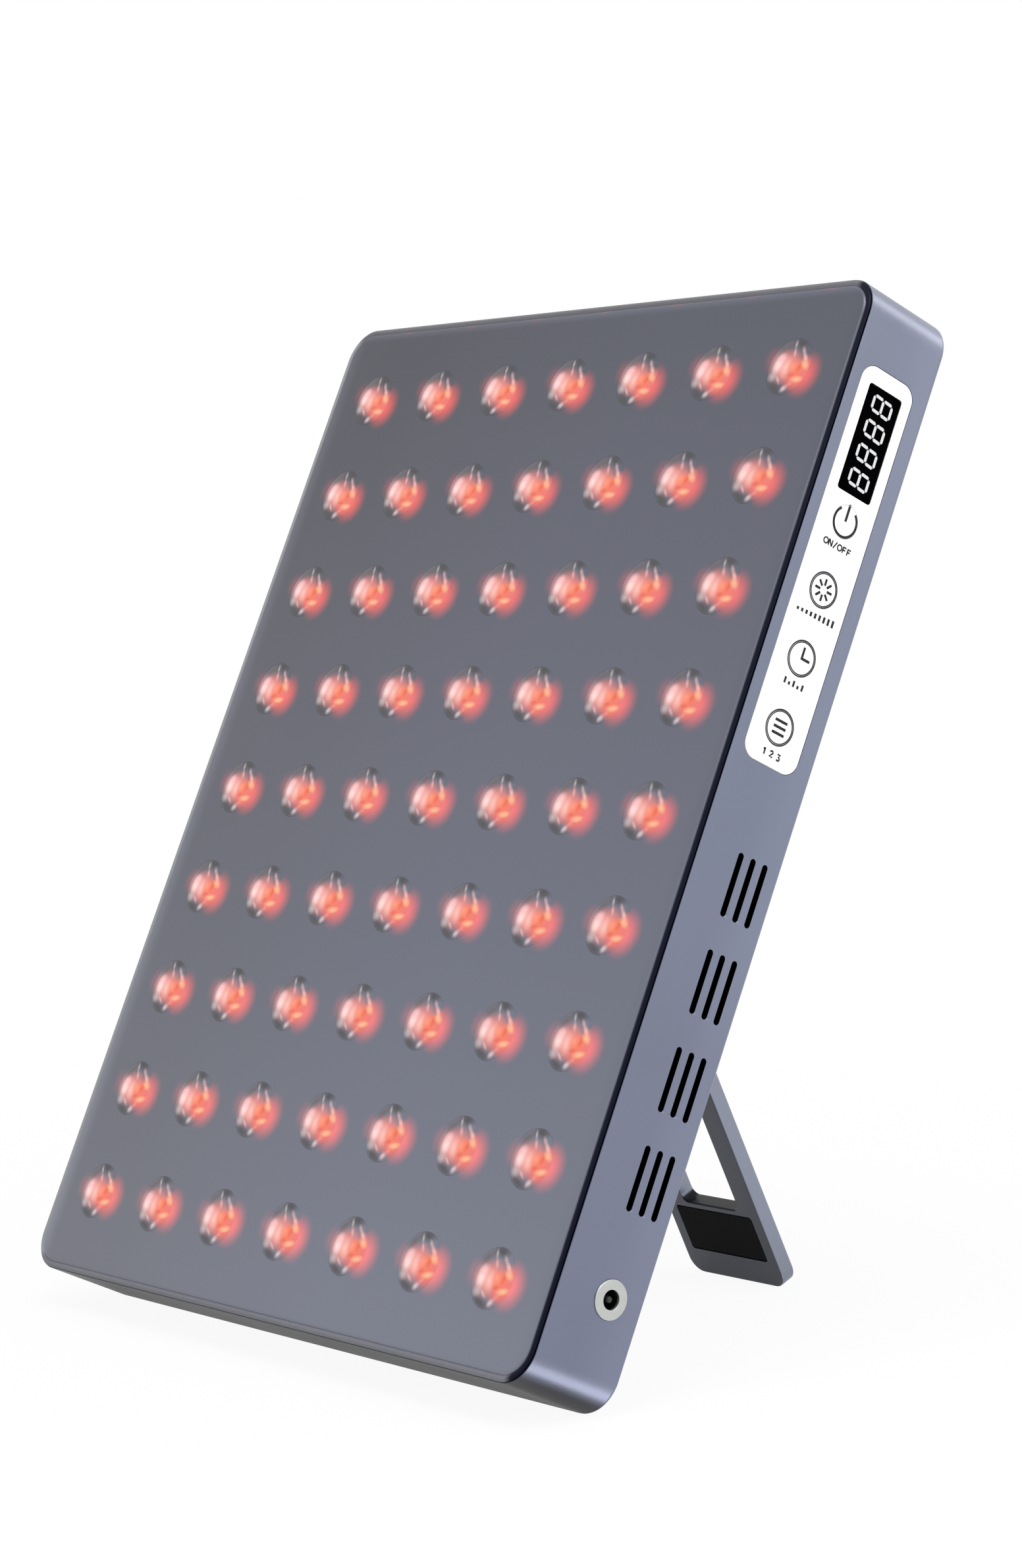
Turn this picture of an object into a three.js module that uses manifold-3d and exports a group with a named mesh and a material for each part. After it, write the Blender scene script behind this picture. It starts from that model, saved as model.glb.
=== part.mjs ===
// A tabletop red light therapy panel that leans back on a folding stand.
// Lengths are millimetres. The panel's own axes are X to the viewer's right, Y backwards from
// the front face and Z up the panel, from the middle of the housing. The finished group leans
// back about X until the housing's lower rear edge and the foot of the stand touch the floor.
import * as THREE from "three";
import { mergeVertices } from "three/addons/utils/BufferGeometryUtils.js";
import Module from "manifold-3d";

const wasm = await Module();
wasm.setup();

// Housing
const housingWidth = 239;
const housingHeight = 306.2;
const housingDepth = 30.3;
const housingCornerRadius = 10.2;
const wallThickness = 2.6;
const rearEdgeRadius = 1.6;
const frontEdgeChamfer = 0.3;
const rimDepth = 0.9;
const lipWidth = 3.5;
const lipThickness = 1.8;

// Front plate, set into the housing's rim, and the dark seal around its edge
const plateThickness = 2.5;
const plateInset = 1.7;
const plateEdgeRadius = 1.2;
const gasketInset = 0.25;
const gasketFaceDepth = 0.15;
const gasketSlope = 0.75;
const postRadius = 2.4;

// Lens grid, set a little towards the viewer's left because the controls fill the right wall
const ledPitch = 32;
const ledWallMargin = 23;
const ledGridShift = -1.1;
const lensRadius = 8.2;
const lensBaseRadius = 5.2;
const lensCrown = 0.9;
const lensRimRecess = 0.4;

// Light engine behind the plate
const ledBoardDepth = 7.5;
const ledBoardThickness = 1.6;
const ledBoardMargin = 2.6;
const spreaderThickness = 3;
const spreaderMargin = 4.5;
const finCount = 12;
const finThickness = 1.8;
const finRearClearance = 8.6;
const finTopMargin = 6;
const finBoardGap = 42.3;

// Rear cover and its screws
const coverThickness = 1.8;
const coverEdgeChamfer = 0.3;
const coverScrewInset = 8;
const screwHeadRadius = 2.8;
const screwHeadDepth = 1.3;
const screwShankRadius = 1.4;
const screwLength = 9;
const bossRadius = 3.6;
const coverScrewDrop = 19.1;
const bossFloor = 1.8;

// Control fascia in the right wall
const fasciaLength = 111.6;
const fasciaSideMargin = 5.4;
const fasciaThickness = 1;
const fasciaCornerRadius = 4.5;
const fasciaTopDrop = 22.4;
const fasciaDepthShift = -0.55;
const displayLength = 30.4;
const displaySideMargin = 3.45;
const displayTopMargin = 4.6;
const displayModuleThickness = 7.2;
const digitWellDepth = 0.3;
const digitWellMargin = 2.6;

// Keys, lowest first, each a round zone of the fascia over its own switch
const keyNames = ["mode", "time", "brightness", "power"];
const keyRadius = 4.5;
const lowestKeyMargin = 10.8;
const keyDisplayMargin = 7.4;
const keyStemRadius = 1.8;
const keyTravel = 0.3;
const keyRestGap = 0.1;
const switchBodySize = 6;
const switchBodyHeight = 3.2;
const switchHeight = 4.3;
const switchButtonRadius = 1.7;
const controlBoardThickness = 1.6;
const controlBoardOverhang = 3;
const controlBoardInset = 1.3;
const controlPostRadius = 2;
const controlPostInset = 2.6;
const controlWireShare = 0.125;

// Vents in both side walls
const slotsPerGroup = 3;
const slotLength = 17.4;
const slotWidth = 1.9;
const slotPitch = 4.45;
const ventGroupPitch = 26.6;
const firstVentDrop = 32.6;
const ventJackGap = 24;
const slotRearMargin = 10.45;

// Power jack in the right wall
const jackRise = 28.6;
const jackRearMargin = 11.55;
const bezelRadius = 5.3;
const bezelMouthClearance = 0.1;
const bezelThickness = 1;
const bezelProud = 0.4;
const jackThreadRadius = 4.2;
const jackThreadWall = 0.7;
const jackSocketWall = 0.55;
const jackShoulderGap = 1.4;
const jackBoreFloor = 0.5;
const jackLength = 14;
const jackRearRadius = 5;
const jackRearLength = 4;
const jackPinRadius = 1.05;
const jackPinTipInset = 1.4;
const jackNutWall = 1.1;
const jackNutThickness = 2;

// Driver board behind the lower vents
const driverBoardWidth = 120;
const driverBoardHeight = 84;
const driverBoardThickness = 1.6;
const driverBoardShift = -15;
const driverBoardRise = 75.1;
const standoffHeight = 3;
const standoffRadius = 2.6;
const standoffInset = 5;
const inductorSize = 22;
const componentHeight = 4.5;
const inductorCornerShare = 0.25;
const inductorWellShare = 0.2;
const capacitorLength = 12;
const terminalLength = 24;
const terminalWidth = 8;
const terminalHeight = 4.2;
const terminalWireShare = 0.25;

// Inner leads
const powerLeadRadius = 1.5;
const thinLeadRadius = 1.1;
const leadRunLength = 8;

// Stand
const standAngle = 49.55;
const standWidth = 42.5;
const standLength = 173.55;
const standThickness = 5;
const standRailWidth = 8.6;
const standTopLength = 18.55;
const standFootBar = 26;
const standWindowRadius = 2.5;
const standFootRadius = 5;
const standTopRadius = 1.5;
const standEdgeChamfer = 0.5;
const padFootMargin = 9;
const padHeight = 15;
const padSideInset = 4.4;
const padThickness = 1.3;
const padRadius = 0.8;

// Hinge between the rear cover and the stand
const hingeHeight = 23.25;
const foldedGap = 1.34;
const pinRadius = 1.25;
const pinHeadRadius = 2.1;
const pinHeadThickness = 0.9;
const earThickness = 3;
const washerThickness = 0.6;
const washerRadius = 2.4;
const hingeBaseThickness = 1.6;
const hingeBaseHeight = 16;
const hingeBaseCornerRadius = 2;
const hingeScrewSpacingX = 24;
const hingeScrewInset = 4.6;
const hingeScrewHeadRadius = 2.6;
const hingeScrewHeadThickness = 1.4;
const hingeScrewLength = 7;

// Clearances
const seatGap = 0.3;
const slideGap = 0.2;
const runningGap = 0.25;
const bite = 0.5;
const overrun = 2;

// Facet counts
const cornerSteps = 5;
const edgeSteps = 3;
const lensSides = 12;
const roundSides = 12;
const smallRoundSides = 8;
const slotEndSteps = 2;
const hexSides = 6;
const leadSides = 6;
const leadSteps = 10;

// Finishes
const housingPaint = metal(0x80839a, 0.42);
const platePaint = metal(0x70727d, 0.45);
const rubberBlack = plain(0x1a1a1a, 0.85);
const clearLens = plain(0xf0c8c0, 0.12);
const whiteGloss = plain(0xfafafa, 0.3);
const blackGloss = plain(0x080808, 0.12);
const blackPlastic = plain(0x141416, 0.6);
const boardGreen = plain(0x1f5a3a, 0.6);
const bareAluminium = metal(0xb9bcc2, 0.4);
const steel = metal(0xb3b6bc, 0.3);
const capacitorSleeve = plain(0x23304a, 0.5);
const leadRed = plain(0xa02820, 0.6);

function metal(color, roughness) {
  return new THREE.MeshStandardMaterial({ color, roughness, metalness: 0.8 });
}

function plain(color, roughness) {
  return new THREE.MeshStandardMaterial({ color, roughness, metalness: 0 });
}

// Places worked out from the sizes
const lipFront = plateThickness + seatGap;
const rebateInset = plateInset - seatGap;
const coverFront = housingDepth - coverThickness;
const ledgeBack = coverFront - seatGap;
const wallFace = housingWidth / 2;
const wallInside = wallFace - wallThickness;
const fasciaBack = wallFace - fasciaThickness;
const recessFloor = fasciaBack - seatGap;
const fasciaTop = housingHeight / 2 - fasciaTopDrop;
const fasciaBottom = fasciaTop - fasciaLength;
const fasciaCentreHeight = (fasciaTop + fasciaBottom) / 2;
const fasciaCentreDepth = housingDepth / 2 + fasciaDepthShift;
const fasciaWidth = housingDepth - 2 * fasciaSideMargin;
const displayWidth = fasciaWidth - 2 * displaySideMargin;
const displayHeight = fasciaTop - displayTopMargin - displayLength / 2;
const lowestKeyHeight = fasciaBottom + lowestKeyMargin;
const highestKeyHeight = displayHeight - displayLength / 2 - keyDisplayMargin;
const keyPitch = (highestKeyHeight - lowestKeyHeight) / (keyNames.length - 1);
const keyHoleRadius = keyRadius + slideGap;
const controlBoardLength = fasciaLength + 2 * controlBoardOverhang;
const controlBoardWidth = fasciaWidth - 2 * controlBoardInset;
const moduleFace = fasciaBack - seatGap;
const controlBoardFace = moduleFace - displayModuleThickness - seatGap;
const ledColumns = 1 + Math.floor((housingWidth - 2 * ledWallMargin) / ledPitch);
const ledRows = 1 + Math.floor((housingHeight - 2 * ledWallMargin) / ledPitch);
const ledBoardBack = ledBoardDepth + ledBoardThickness;
const spreaderFront = ledBoardBack + seatGap;
const spreaderBack = spreaderFront + spreaderThickness;
const ledBoardWidth = (ledColumns - 1) * ledPitch + 2 * (lensRadius + ledBoardMargin);
const ledBoardHeight = (ledRows - 1) * ledPitch + 2 * (lensRadius + ledBoardMargin);
const spreaderWidth = ledBoardWidth - 2 * spreaderMargin;
const spreaderHeight = ledBoardHeight - 2 * spreaderMargin;
const driverBoardBack = coverFront - standoffHeight - seatGap;
const driverBoardFront = driverBoardBack - driverBoardThickness;
const driverBoardHeightCentre = driverBoardRise - housingHeight / 2;
const driverBoardTop = driverBoardHeightCentre + driverBoardHeight / 2;
const componentBack = driverBoardFront - seatGap;
const finTop = spreaderHeight / 2 - finTopMargin;
const finBottom = driverBoardTop + finBoardGap;
const finBack = coverFront - finRearClearance;
const coverScrewBossFront = housingDepth - screwLength - slideGap - bossFloor;
const standHalf = standThickness / 2;
const hingeOffset = standHalf + foldedGap;
const hingeDepth = housingDepth + hingeOffset;
const openAngle = THREE.MathUtils.degToRad(standAngle);
const standWindowEnd = standLength - standFootBar;
const padEnd = standLength - padFootMargin;
const padStart = padEnd - padHeight;
// The heel's inner corner comes to rest on the rear cover when the stand is open.
const heelLength =
  (hingeOffset - seatGap - standHalf * Math.cos(openAngle)) / Math.sin(openAngle);
const earInside = standWidth / 2 + seatGap + washerThickness + seatGap;
const earOutside = earInside + earThickness;
const hingeBaseFront = housingDepth + seatGap;
const hingeBaseBack = hingeBaseFront + hingeBaseThickness;
// The base plate's lower edge keeps clear of the heel as it swings.
const heelSwing = Math.hypot(heelLength, standHalf) + slideGap;
const hingeBaseRise = Math.sqrt(heelSwing ** 2 - (hingeDepth - hingeBaseBack) ** 2);
const hingeBaseBottom = hingeHeight + hingeBaseRise;
const jackHeight = jackRise - housingHeight / 2;
const jackDepth = housingDepth - jackRearMargin;
const jackNoseRadius = jackThreadRadius - jackThreadWall - slideGap;
const jackBoreRadius = jackNoseRadius - jackSocketWall;
const bezelMouthRadius = jackBoreRadius + bezelMouthClearance;
const bezelFace = wallFace + bezelProud;
const bezelBack = bezelFace - bezelThickness;
const jackTail = wallFace - jackLength;
const jackShoulder = jackTail + jackRearLength;
const jackBoreEnd = jackShoulder + jackBoreFloor;
const slotCentreDepth = housingDepth - slotRearMargin;
const firstVentHeight = fasciaBottom - firstVentDrop;
const ventRoom = firstVentHeight - jackHeight - ventJackGap;
const ventGroups = 1 + Math.floor(ventRoom / ventGroupPitch);

// A closed three.js geometry as a solid
function solidOf(geometry) {
  geometry.deleteAttribute("normal");
  geometry.deleteAttribute("uv");
  const merged = mergeVertices(geometry);
  return new wasm.Manifold(
    new wasm.Mesh({
      numProp: 3,
      vertProperties: merged.getAttribute("position").array,
      triVerts: new Uint32Array(merged.index.array),
    }),
  );
}

function join(...solids) {
  return wasm.Manifold.union(solids.flat());
}

function cut(solid, ...cutters) {
  return solid.subtract(join(...cutters));
}

// A named mesh made from a solid
function piece(name, solid, material) {
  const made = solid.getMesh();
  const geometry = new THREE.BufferGeometry();
  geometry.setAttribute("position", new THREE.BufferAttribute(made.vertProperties, 3));
  geometry.setIndex(new THREE.BufferAttribute(made.triVerts, 1));
  geometry.computeVertexNormals();
  const mesh = new THREE.Mesh(geometry, material);
  mesh.name = name;
  return mesh;
}

// The points of a rounded rectangle about the origin, anticlockwise
function roundedOutline(width, height, radius, steps = cornerSteps) {
  const corners = [
    [1, 1],
    [-1, 1],
    [-1, -1],
    [1, -1],
  ];
  return corners.flatMap(([across, up], quarter) =>
    Array.from({ length: steps + 1 }, (_, step) => {
      const angle = ((quarter + step / steps) * Math.PI) / 2;
      return new THREE.Vector2(
        across * (width / 2 - radius) + radius * Math.cos(angle),
        up * (height / 2 - radius) + radius * Math.sin(angle),
      );
    }),
  );
}

// The points of a rectangle about the origin, anticlockwise
function rectangleOutline(width, height) {
  return [
    new THREE.Vector2(width / 2, height / 2),
    new THREE.Vector2(-width / 2, height / 2),
    new THREE.Vector2(-width / 2, -height / 2),
    new THREE.Vector2(width / 2, -height / 2),
  ];
}

function extruded(points, depth) {
  return new THREE.ExtrudeGeometry(new THREE.Shape(points), { depth, bevelEnabled: false });
}

// An outline in X and Z about (x, z), between two depths
function depthSlab(points, front, back, x = 0, z = 0) {
  const geometry = extruded(points, back - front);
  return solidOf(geometry.rotateX(Math.PI / 2).translate(x, back, z));
}

// An outline in Y and Z about (y, z), between two places across the panel
function sideSlab(points, from, to, y = 0, z = 0) {
  const turn = new THREE.Matrix4().makeBasis(
    new THREE.Vector3(0, 1, 0),
    new THREE.Vector3(0, 0, 1),
    new THREE.Vector3(1, 0, 0),
  );
  return solidOf(extruded(points, to - from).applyMatrix4(turn).translate(from, y, z));
}

// Rounded rectangles stacked from front to back, each drawn in by its own inset
function stackedSlab(width, height, radius, levels) {
  const rings = levels.map(({ inset, y }) =>
    roundedOutline(width - 2 * inset, height - 2 * inset, radius - inset).map(
      (point) => new THREE.Vector3(point.x, y, point.y),
    ),
  );
  const count = rings[0].length;
  const last = (rings.length - 1) * count;
  const faces = [];
  for (let i = 1; i < count - 1; i += 1) {
    faces.push(0, i, i + 1);
    faces.push(last, last + i + 1, last + i);
  }
  for (let ring = 0; ring < last; ring += count) {
    for (let i = 0; i < count; i += 1) {
      const next = (i + 1) % count;
      faces.push(ring + i, ring + count + i, ring + count + next);
      faces.push(ring + i, ring + count + next, ring + next);
    }
  }
  const geometry = new THREE.BufferGeometry().setFromPoints(rings.flat());
  geometry.setIndex(faces);
  return solidOf(geometry);
}

// The levels of a quarter round on an edge that starts at a depth and runs inwards or outwards
function edgeRound(radius, y, direction) {
  return Array.from({ length: edgeSteps + 1 }, (_, step) => {
    const angle = ((step / edgeSteps) * Math.PI) / 2;
    return {
      inset: radius * (1 - Math.sin(angle)),
      y: y + direction * radius * (1 - Math.cos(angle)),
    };
  });
}

// A profile of [radius, place] pairs turned about an axis along Y, through (x, z)
function turnedAlongY(profile, x, z, sides) {
  const points = profile.map(([radius, y]) => new THREE.Vector2(radius, y));
  return solidOf(new THREE.LatheGeometry(points, sides).translate(x, 0, z));
}

// The same about an axis along X, through (y, z)
function turnedAlongX(profile, y, z, sides) {
  const points = profile.map(([radius, x]) => new THREE.Vector2(radius, x));
  const geometry = new THREE.LatheGeometry(points, sides);
  return solidOf(geometry.rotateZ(-Math.PI / 2).translate(0, y, z));
}

function rodAlongY(radius, front, back, x, z, sides = roundSides) {
  return turnedAlongY(
    [
      [0, front],
      [radius, front],
      [radius, back],
      [0, back],
    ],
    x,
    z,
    sides,
  );
}

function rodAlongX(radius, from, to, y, z, sides = roundSides) {
  return turnedAlongX(
    [
      [0, from],
      [radius, from],
      [radius, to],
      [0, to],
    ],
    y,
    z,
    sides,
  );
}

// The corner radius of a faceted bore whose flats stay outside a round radius
function boreCorner(radius, sides) {
  return radius / Math.cos(Math.PI / sides);
}

function grid(columns, rows, pitch) {
  return Array.from({ length: columns * rows }, (_, index) => ({
    x: ((index % columns) - (columns - 1) / 2) * pitch,
    z: (Math.floor(index / columns) - (rows - 1) / 2) * pitch,
  }));
}

const ledPlaces = grid(ledColumns, ledRows, ledPitch).map(({ x, z }) => ({
  x: x + ledGridShift,
  z,
}));

// Four outer and four inner places, each midway between four lenses
const postPitches = [
  { across: ledColumns - 2, up: ledRows - 2 },
  { across: 2 - (ledColumns % 2), up: 2 - (ledRows % 2) },
];
const postPlaces = postPitches.flatMap(({ across, up }) =>
  grid(2, 2, ledPitch).map(({ x, z }) => ({ x: x * across + ledGridShift, z: z * up })),
);

const keyPlaces = keyNames.map((key, index) => ({
  key,
  z: lowestKeyHeight + index * keyPitch,
}));

const coverScrewReach = housingHeight / 2 - coverScrewInset;
const coverScrewRows = [-coverScrewReach, fasciaBottom - coverScrewDrop, coverScrewReach];
const coverScrewPlaces = coverScrewRows.flatMap((z) =>
  [-1, 1].map((side) => ({ x: side * (housingWidth / 2 - coverScrewInset), z })),
);

const hingeScrewPlaces = [-1, 1].flatMap((side) =>
  [hingeScrewInset, hingeBaseHeight - hingeScrewInset].map((rise) => ({
    x: (side * hingeScrewSpacingX) / 2,
    z: hingeBaseBottom + rise,
  })),
);

const standoffPlaces = [-1, 1].flatMap((across) =>
  [-1, 1].map((up) => ({
    x: driverBoardShift + across * (driverBoardWidth / 2 - standoffInset),
    z: driverBoardHeightCentre + up * (driverBoardHeight / 2 - standoffInset),
  })),
);

// Front plate, with its rounded edge, lens holes and the posts that carry the light engine
function frontPlate() {
  const slab = stackedSlab(
    housingWidth - 2 * plateInset,
    housingHeight - 2 * plateInset,
    housingCornerRadius - plateInset,
    [...edgeRound(plateEdgeRadius, 0, 1), { inset: 0, y: plateThickness }],
  );
  const holes = ledPlaces.map(({ x, z }) =>
    rodAlongY(lensRadius + seatGap, -overrun, plateThickness + overrun, x, z, lensSides),
  );
  const posts = postPlaces.map(({ x, z }) =>
    rodAlongY(postRadius, plateThickness - bite, ledBoardDepth - seatGap, x, z, smallRoundSides),
  );
  return join(cut(slab, holes), posts);
}

// Dark seal that lies on the housing's rim around the plate, sloping down to the outside
function sealGasket() {
  const back = rimDepth - seatGap;
  const outside = stackedSlab(
    housingWidth - 2 * gasketInset,
    housingHeight - 2 * gasketInset,
    housingCornerRadius - gasketInset,
    [
      { inset: gasketSlope, y: gasketFaceDepth },
      { inset: 0, y: back },
    ],
  );
  return cut(outside, roundedHollow(rebateInset, gasketFaceDepth - overrun, back + overrun));
}

// A straight hollow with the housing's outline, drawn in by an inset
function roundedHollow(inset, from, to) {
  return stackedSlab(
    housingWidth - 2 * inset,
    housingHeight - 2 * inset,
    housingCornerRadius - inset,
    [
      { inset: 0, y: from },
      { inset: 0, y: to },
    ],
  );
}

// The housing's band: walls with a rebated rim, front lip, rear ledge, screw bosses, vents,
// recess and jack hole
function sideFrame() {
  const outside = stackedSlab(housingWidth, housingHeight, housingCornerRadius, [
    { inset: frontEdgeChamfer, y: rimDepth },
    { inset: 0, y: rimDepth + frontEdgeChamfer },
    ...edgeRound(rearEdgeRadius, housingDepth, -1).reverse(),
  ]);
  const band = cut(
    outside,
    roundedHollow(rebateInset, rimDepth - overrun, lipFront),
    roundedHollow(wallThickness + lipWidth, lipFront - overrun, housingDepth + overrun),
    roundedHollow(wallThickness, lipFront + lipThickness, ledgeBack - lipThickness),
    roundedHollow(wallThickness, ledgeBack, housingDepth + overrun),
  );
  const bosses = coverScrewPlaces.map(({ x, z }) =>
    rodAlongY(bossRadius, coverScrewBossFront, ledgeBack, x, z, smallRoundSides),
  );
  const controlPosts = [-1, 1].map((end) =>
    rodAlongX(
      controlPostRadius,
      controlBoardFace + seatGap,
      recessFloor - bite,
      fasciaCentreDepth,
      fasciaCentreHeight + end * (controlBoardLength / 2 - controlPostInset),
      smallRoundSides,
    ),
  );
  return cut(
    join(band, bosses, controlPosts),
    coverScrewPlaces.map(({ x, z }) => countersunkScrew(x, z, slideGap)),
    ventSlots(),
    fasciaOpenings(),
    jackOpenings(),
  );
}

function ventSlots() {
  const slot = roundedOutline(slotWidth, slotLength, slotWidth / 2, slotEndSteps);
  return Array.from({ length: ventGroups * slotsPerGroup }, (_, index) => {
    const group = Math.floor(index / slotsPerGroup);
    const row = (index % slotsPerGroup) - (slotsPerGroup - 1) / 2;
    return sideSlab(
      slot,
      -wallFace - overrun,
      wallFace + overrun,
      slotCentreDepth + row * slotPitch,
      firstVentHeight - group * ventGroupPitch,
    );
  });
}

// The recess that the fascia lies in, and the holes behind its display and keys
function fasciaOpenings() {
  const recess = sideSlab(
    roundedOutline(
      fasciaWidth + 2 * seatGap,
      fasciaLength + 2 * seatGap,
      fasciaCornerRadius + seatGap,
    ),
    recessFloor,
    wallFace + overrun,
    fasciaCentreDepth,
    fasciaCentreHeight,
  );
  const displayHole = sideSlab(
    rectangleOutline(displayWidth, displayLength),
    wallInside - overrun,
    wallFace,
    fasciaCentreDepth,
    displayHeight,
  );
  const keyHoles = keyPlaces.map(({ z }) =>
    rodAlongX(keyHoleRadius, wallInside - overrun, wallFace, fasciaCentreDepth, z),
  );
  return [recess, displayHole, keyHoles].flat();
}

function jackOpenings() {
  return [
    rodAlongX(
      jackThreadRadius + seatGap,
      wallInside - overrun,
      wallFace + overrun,
      jackDepth,
      jackHeight,
    ),
    rodAlongX(
      bezelRadius + slideGap,
      bezelBack - seatGap,
      wallFace + overrun,
      jackDepth,
      jackHeight,
    ),
  ];
}

// A countersunk screw through the rear cover, or with a gap the space that it needs
function countersunkScrew(x, z, gap) {
  const headSurface = gap > 0 ? housingDepth + overrun : housingDepth;
  const underHead = housingDepth - screwHeadDepth;
  return turnedAlongY(
    [
      [0, housingDepth - screwLength - gap],
      [screwShankRadius + gap, housingDepth - screwLength - gap],
      [screwShankRadius + gap, underHead - gap],
      [screwHeadRadius + gap, housingDepth - gap],
      [screwHeadRadius + gap, headSurface],
      [0, headSurface],
    ],
    x,
    z,
    smallRoundSides,
  );
}

// Rear cover with countersunk holes, standoffs for the driver board and hinge screw bosses
function rearCover() {
  const inset = wallThickness + seatGap;
  const slab = stackedSlab(
    housingWidth - 2 * inset,
    housingHeight - 2 * inset,
    housingCornerRadius - inset,
    [
      { inset: 0, y: coverFront },
      { inset: 0, y: housingDepth - coverEdgeChamfer },
      { inset: coverEdgeChamfer, y: housingDepth },
    ],
  );
  const standoffs = standoffPlaces.map(({ x, z }) =>
    rodAlongY(standoffRadius, coverFront - standoffHeight, coverFront + bite, x, z, smallRoundSides),
  );
  const hingeBosses = hingeScrewPlaces.map(({ x, z }) =>
    rodAlongY(
      bossRadius,
      hingeBaseBack - hingeScrewLength - bossFloor,
      coverFront + bite,
      x,
      z,
      smallRoundSides,
    ),
  );
  return cut(
    join(slab, standoffs, hingeBosses),
    coverScrewPlaces.map(({ x, z }) => countersunkScrew(x, z, slideGap)),
    hingeScrewPlaces.map(({ x, z }) => hingeScrew(x, z, slideGap)),
  );
}

// Light board with its lenses, which pass through the holes of the front plate
function ledBoard() {
  const board = depthSlab(
    rectangleOutline(ledBoardWidth, ledBoardHeight),
    ledBoardDepth,
    ledBoardBack,
    ledGridShift,
  );
  const profile = [
    [0, -lensCrown],
    [lensRadius, lensRimRecess],
    [lensBaseRadius, ledBoardDepth + bite],
    [0, ledBoardDepth + bite],
  ];
  const lenses = ledPlaces.map(({ x, z }) => turnedAlongY(profile, x, z, lensSides));
  return join(board, lenses);
}

// Aluminium plate that spreads the heat, with upright fins over its upper half
function heatSpreader() {
  const plate = depthSlab(
    rectangleOutline(spreaderWidth, spreaderHeight),
    spreaderFront,
    spreaderBack,
    ledGridShift,
  );
  const finPitch = (spreaderWidth - finThickness) / (finCount - 1);
  const fins = grid(finCount, 1, finPitch).map(({ x }) =>
    depthSlab(
      rectangleOutline(finThickness, finTop - finBottom),
      spreaderBack - bite,
      finBack,
      x + ledGridShift,
      (finTop + finBottom) / 2,
    ),
  );
  return join(plate, fins);
}

function driverBoard() {
  return depthSlab(
    rectangleOutline(driverBoardWidth, driverBoardHeight),
    driverBoardFront,
    driverBoardBack,
    driverBoardShift,
    driverBoardHeightCentre,
  );
}

// A part on the driver board, at shares of the board's half width and half height
function driverPlace(acrossShare, upShare) {
  return {
    x: driverBoardShift + (acrossShare * driverBoardWidth) / 2,
    z: driverBoardHeightCentre + (upShare * driverBoardHeight) / 2,
  };
}

const inductorPlaceShares = [0.1, 0.35];
const capacitorPlaceShares = [
  [-0.55, 0.45],
  [-0.55, -0.05],
];
const terminalPlaceShares = [0.85, -0.45];
const ledTerminalPlaceShares = [-0.85, -0.6];

function driverInductor() {
  const { x, z } = driverPlace(...inductorPlaceShares);
  const front = componentBack - componentHeight;
  const core = depthSlab(
    roundedOutline(inductorSize, inductorSize, inductorSize * inductorCornerShare, slotEndSteps),
    front,
    componentBack,
    x,
    z,
  );
  const wellRadius = inductorSize * inductorWellShare;
  const well = rodAlongY(wellRadius, front - overrun, front + componentHeight / 2, x, z);
  return cut(core, well);
}

function driverCapacitor(shares) {
  const { x, z } = driverPlace(...shares);
  const half = capacitorLength / 2;
  const radius = componentHeight / 2;
  return rodAlongX(radius, x - half, x + half, componentBack - radius, z);
}

function terminalBlock(shares) {
  const { x, z } = driverPlace(...shares);
  return depthSlab(
    rectangleOutline(terminalWidth, terminalLength),
    componentBack - terminalHeight,
    componentBack,
    x,
    z,
  );
}

// Control fascia, with its window and the round holes that its keys fill
function controlFascia() {
  const plate = sideSlab(
    roundedOutline(fasciaWidth, fasciaLength, fasciaCornerRadius),
    fasciaBack,
    wallFace,
    fasciaCentreDepth,
    fasciaCentreHeight,
  );
  const windowHole = sideSlab(
    rectangleOutline(displayWidth, displayLength),
    fasciaBack - overrun,
    wallFace + overrun,
    fasciaCentreDepth,
    displayHeight,
  );
  const keyHoles = keyPlaces.map(({ z }) =>
    rodAlongX(keyHoleRadius, fasciaBack - overrun, wallFace + overrun, fasciaCentreDepth, z),
  );
  return cut(plate, windowHole, keyHoles);
}

function displayWindow() {
  return sideSlab(
    rectangleOutline(displayWidth - 2 * slideGap, displayLength - 2 * slideGap),
    fasciaBack,
    wallFace,
    fasciaCentreDepth,
    displayHeight,
  );
}

// Display module, with a shallow well in its face behind the window
function displayModule() {
  const width = displayWidth - 2 * seatGap;
  const length = displayLength - 2 * seatGap;
  const body = sideSlab(
    rectangleOutline(width, length),
    moduleFace - displayModuleThickness,
    moduleFace,
    fasciaCentreDepth,
    displayHeight,
  );
  const well = sideSlab(
    rectangleOutline(width - 2 * digitWellMargin, length - 2 * digitWellMargin),
    moduleFace - digitWellDepth,
    moduleFace + overrun,
    fasciaCentreDepth,
    displayHeight,
  );
  return cut(body, well);
}

function controlBoard() {
  return sideSlab(
    rectangleOutline(controlBoardWidth, controlBoardLength),
    controlBoardFace - controlBoardThickness,
    controlBoardFace,
    fasciaCentreDepth,
    fasciaCentreHeight,
  );
}

// A key: its round face in the fascia and the stem that reaches back to its switch
function key(z) {
  const stemEnd = switchButtonFace() + keyTravel + keyRestGap;
  return turnedAlongX(
    [
      [0, stemEnd],
      [keyStemRadius, stemEnd],
      [keyStemRadius, fasciaBack],
      [keyRadius, fasciaBack],
      [keyRadius, wallFace],
      [0, wallFace],
    ],
    fasciaCentreDepth,
    z,
    roundSides,
  );
}

function switchButtonFace() {
  return controlBoardFace + seatGap + switchHeight;
}

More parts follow.
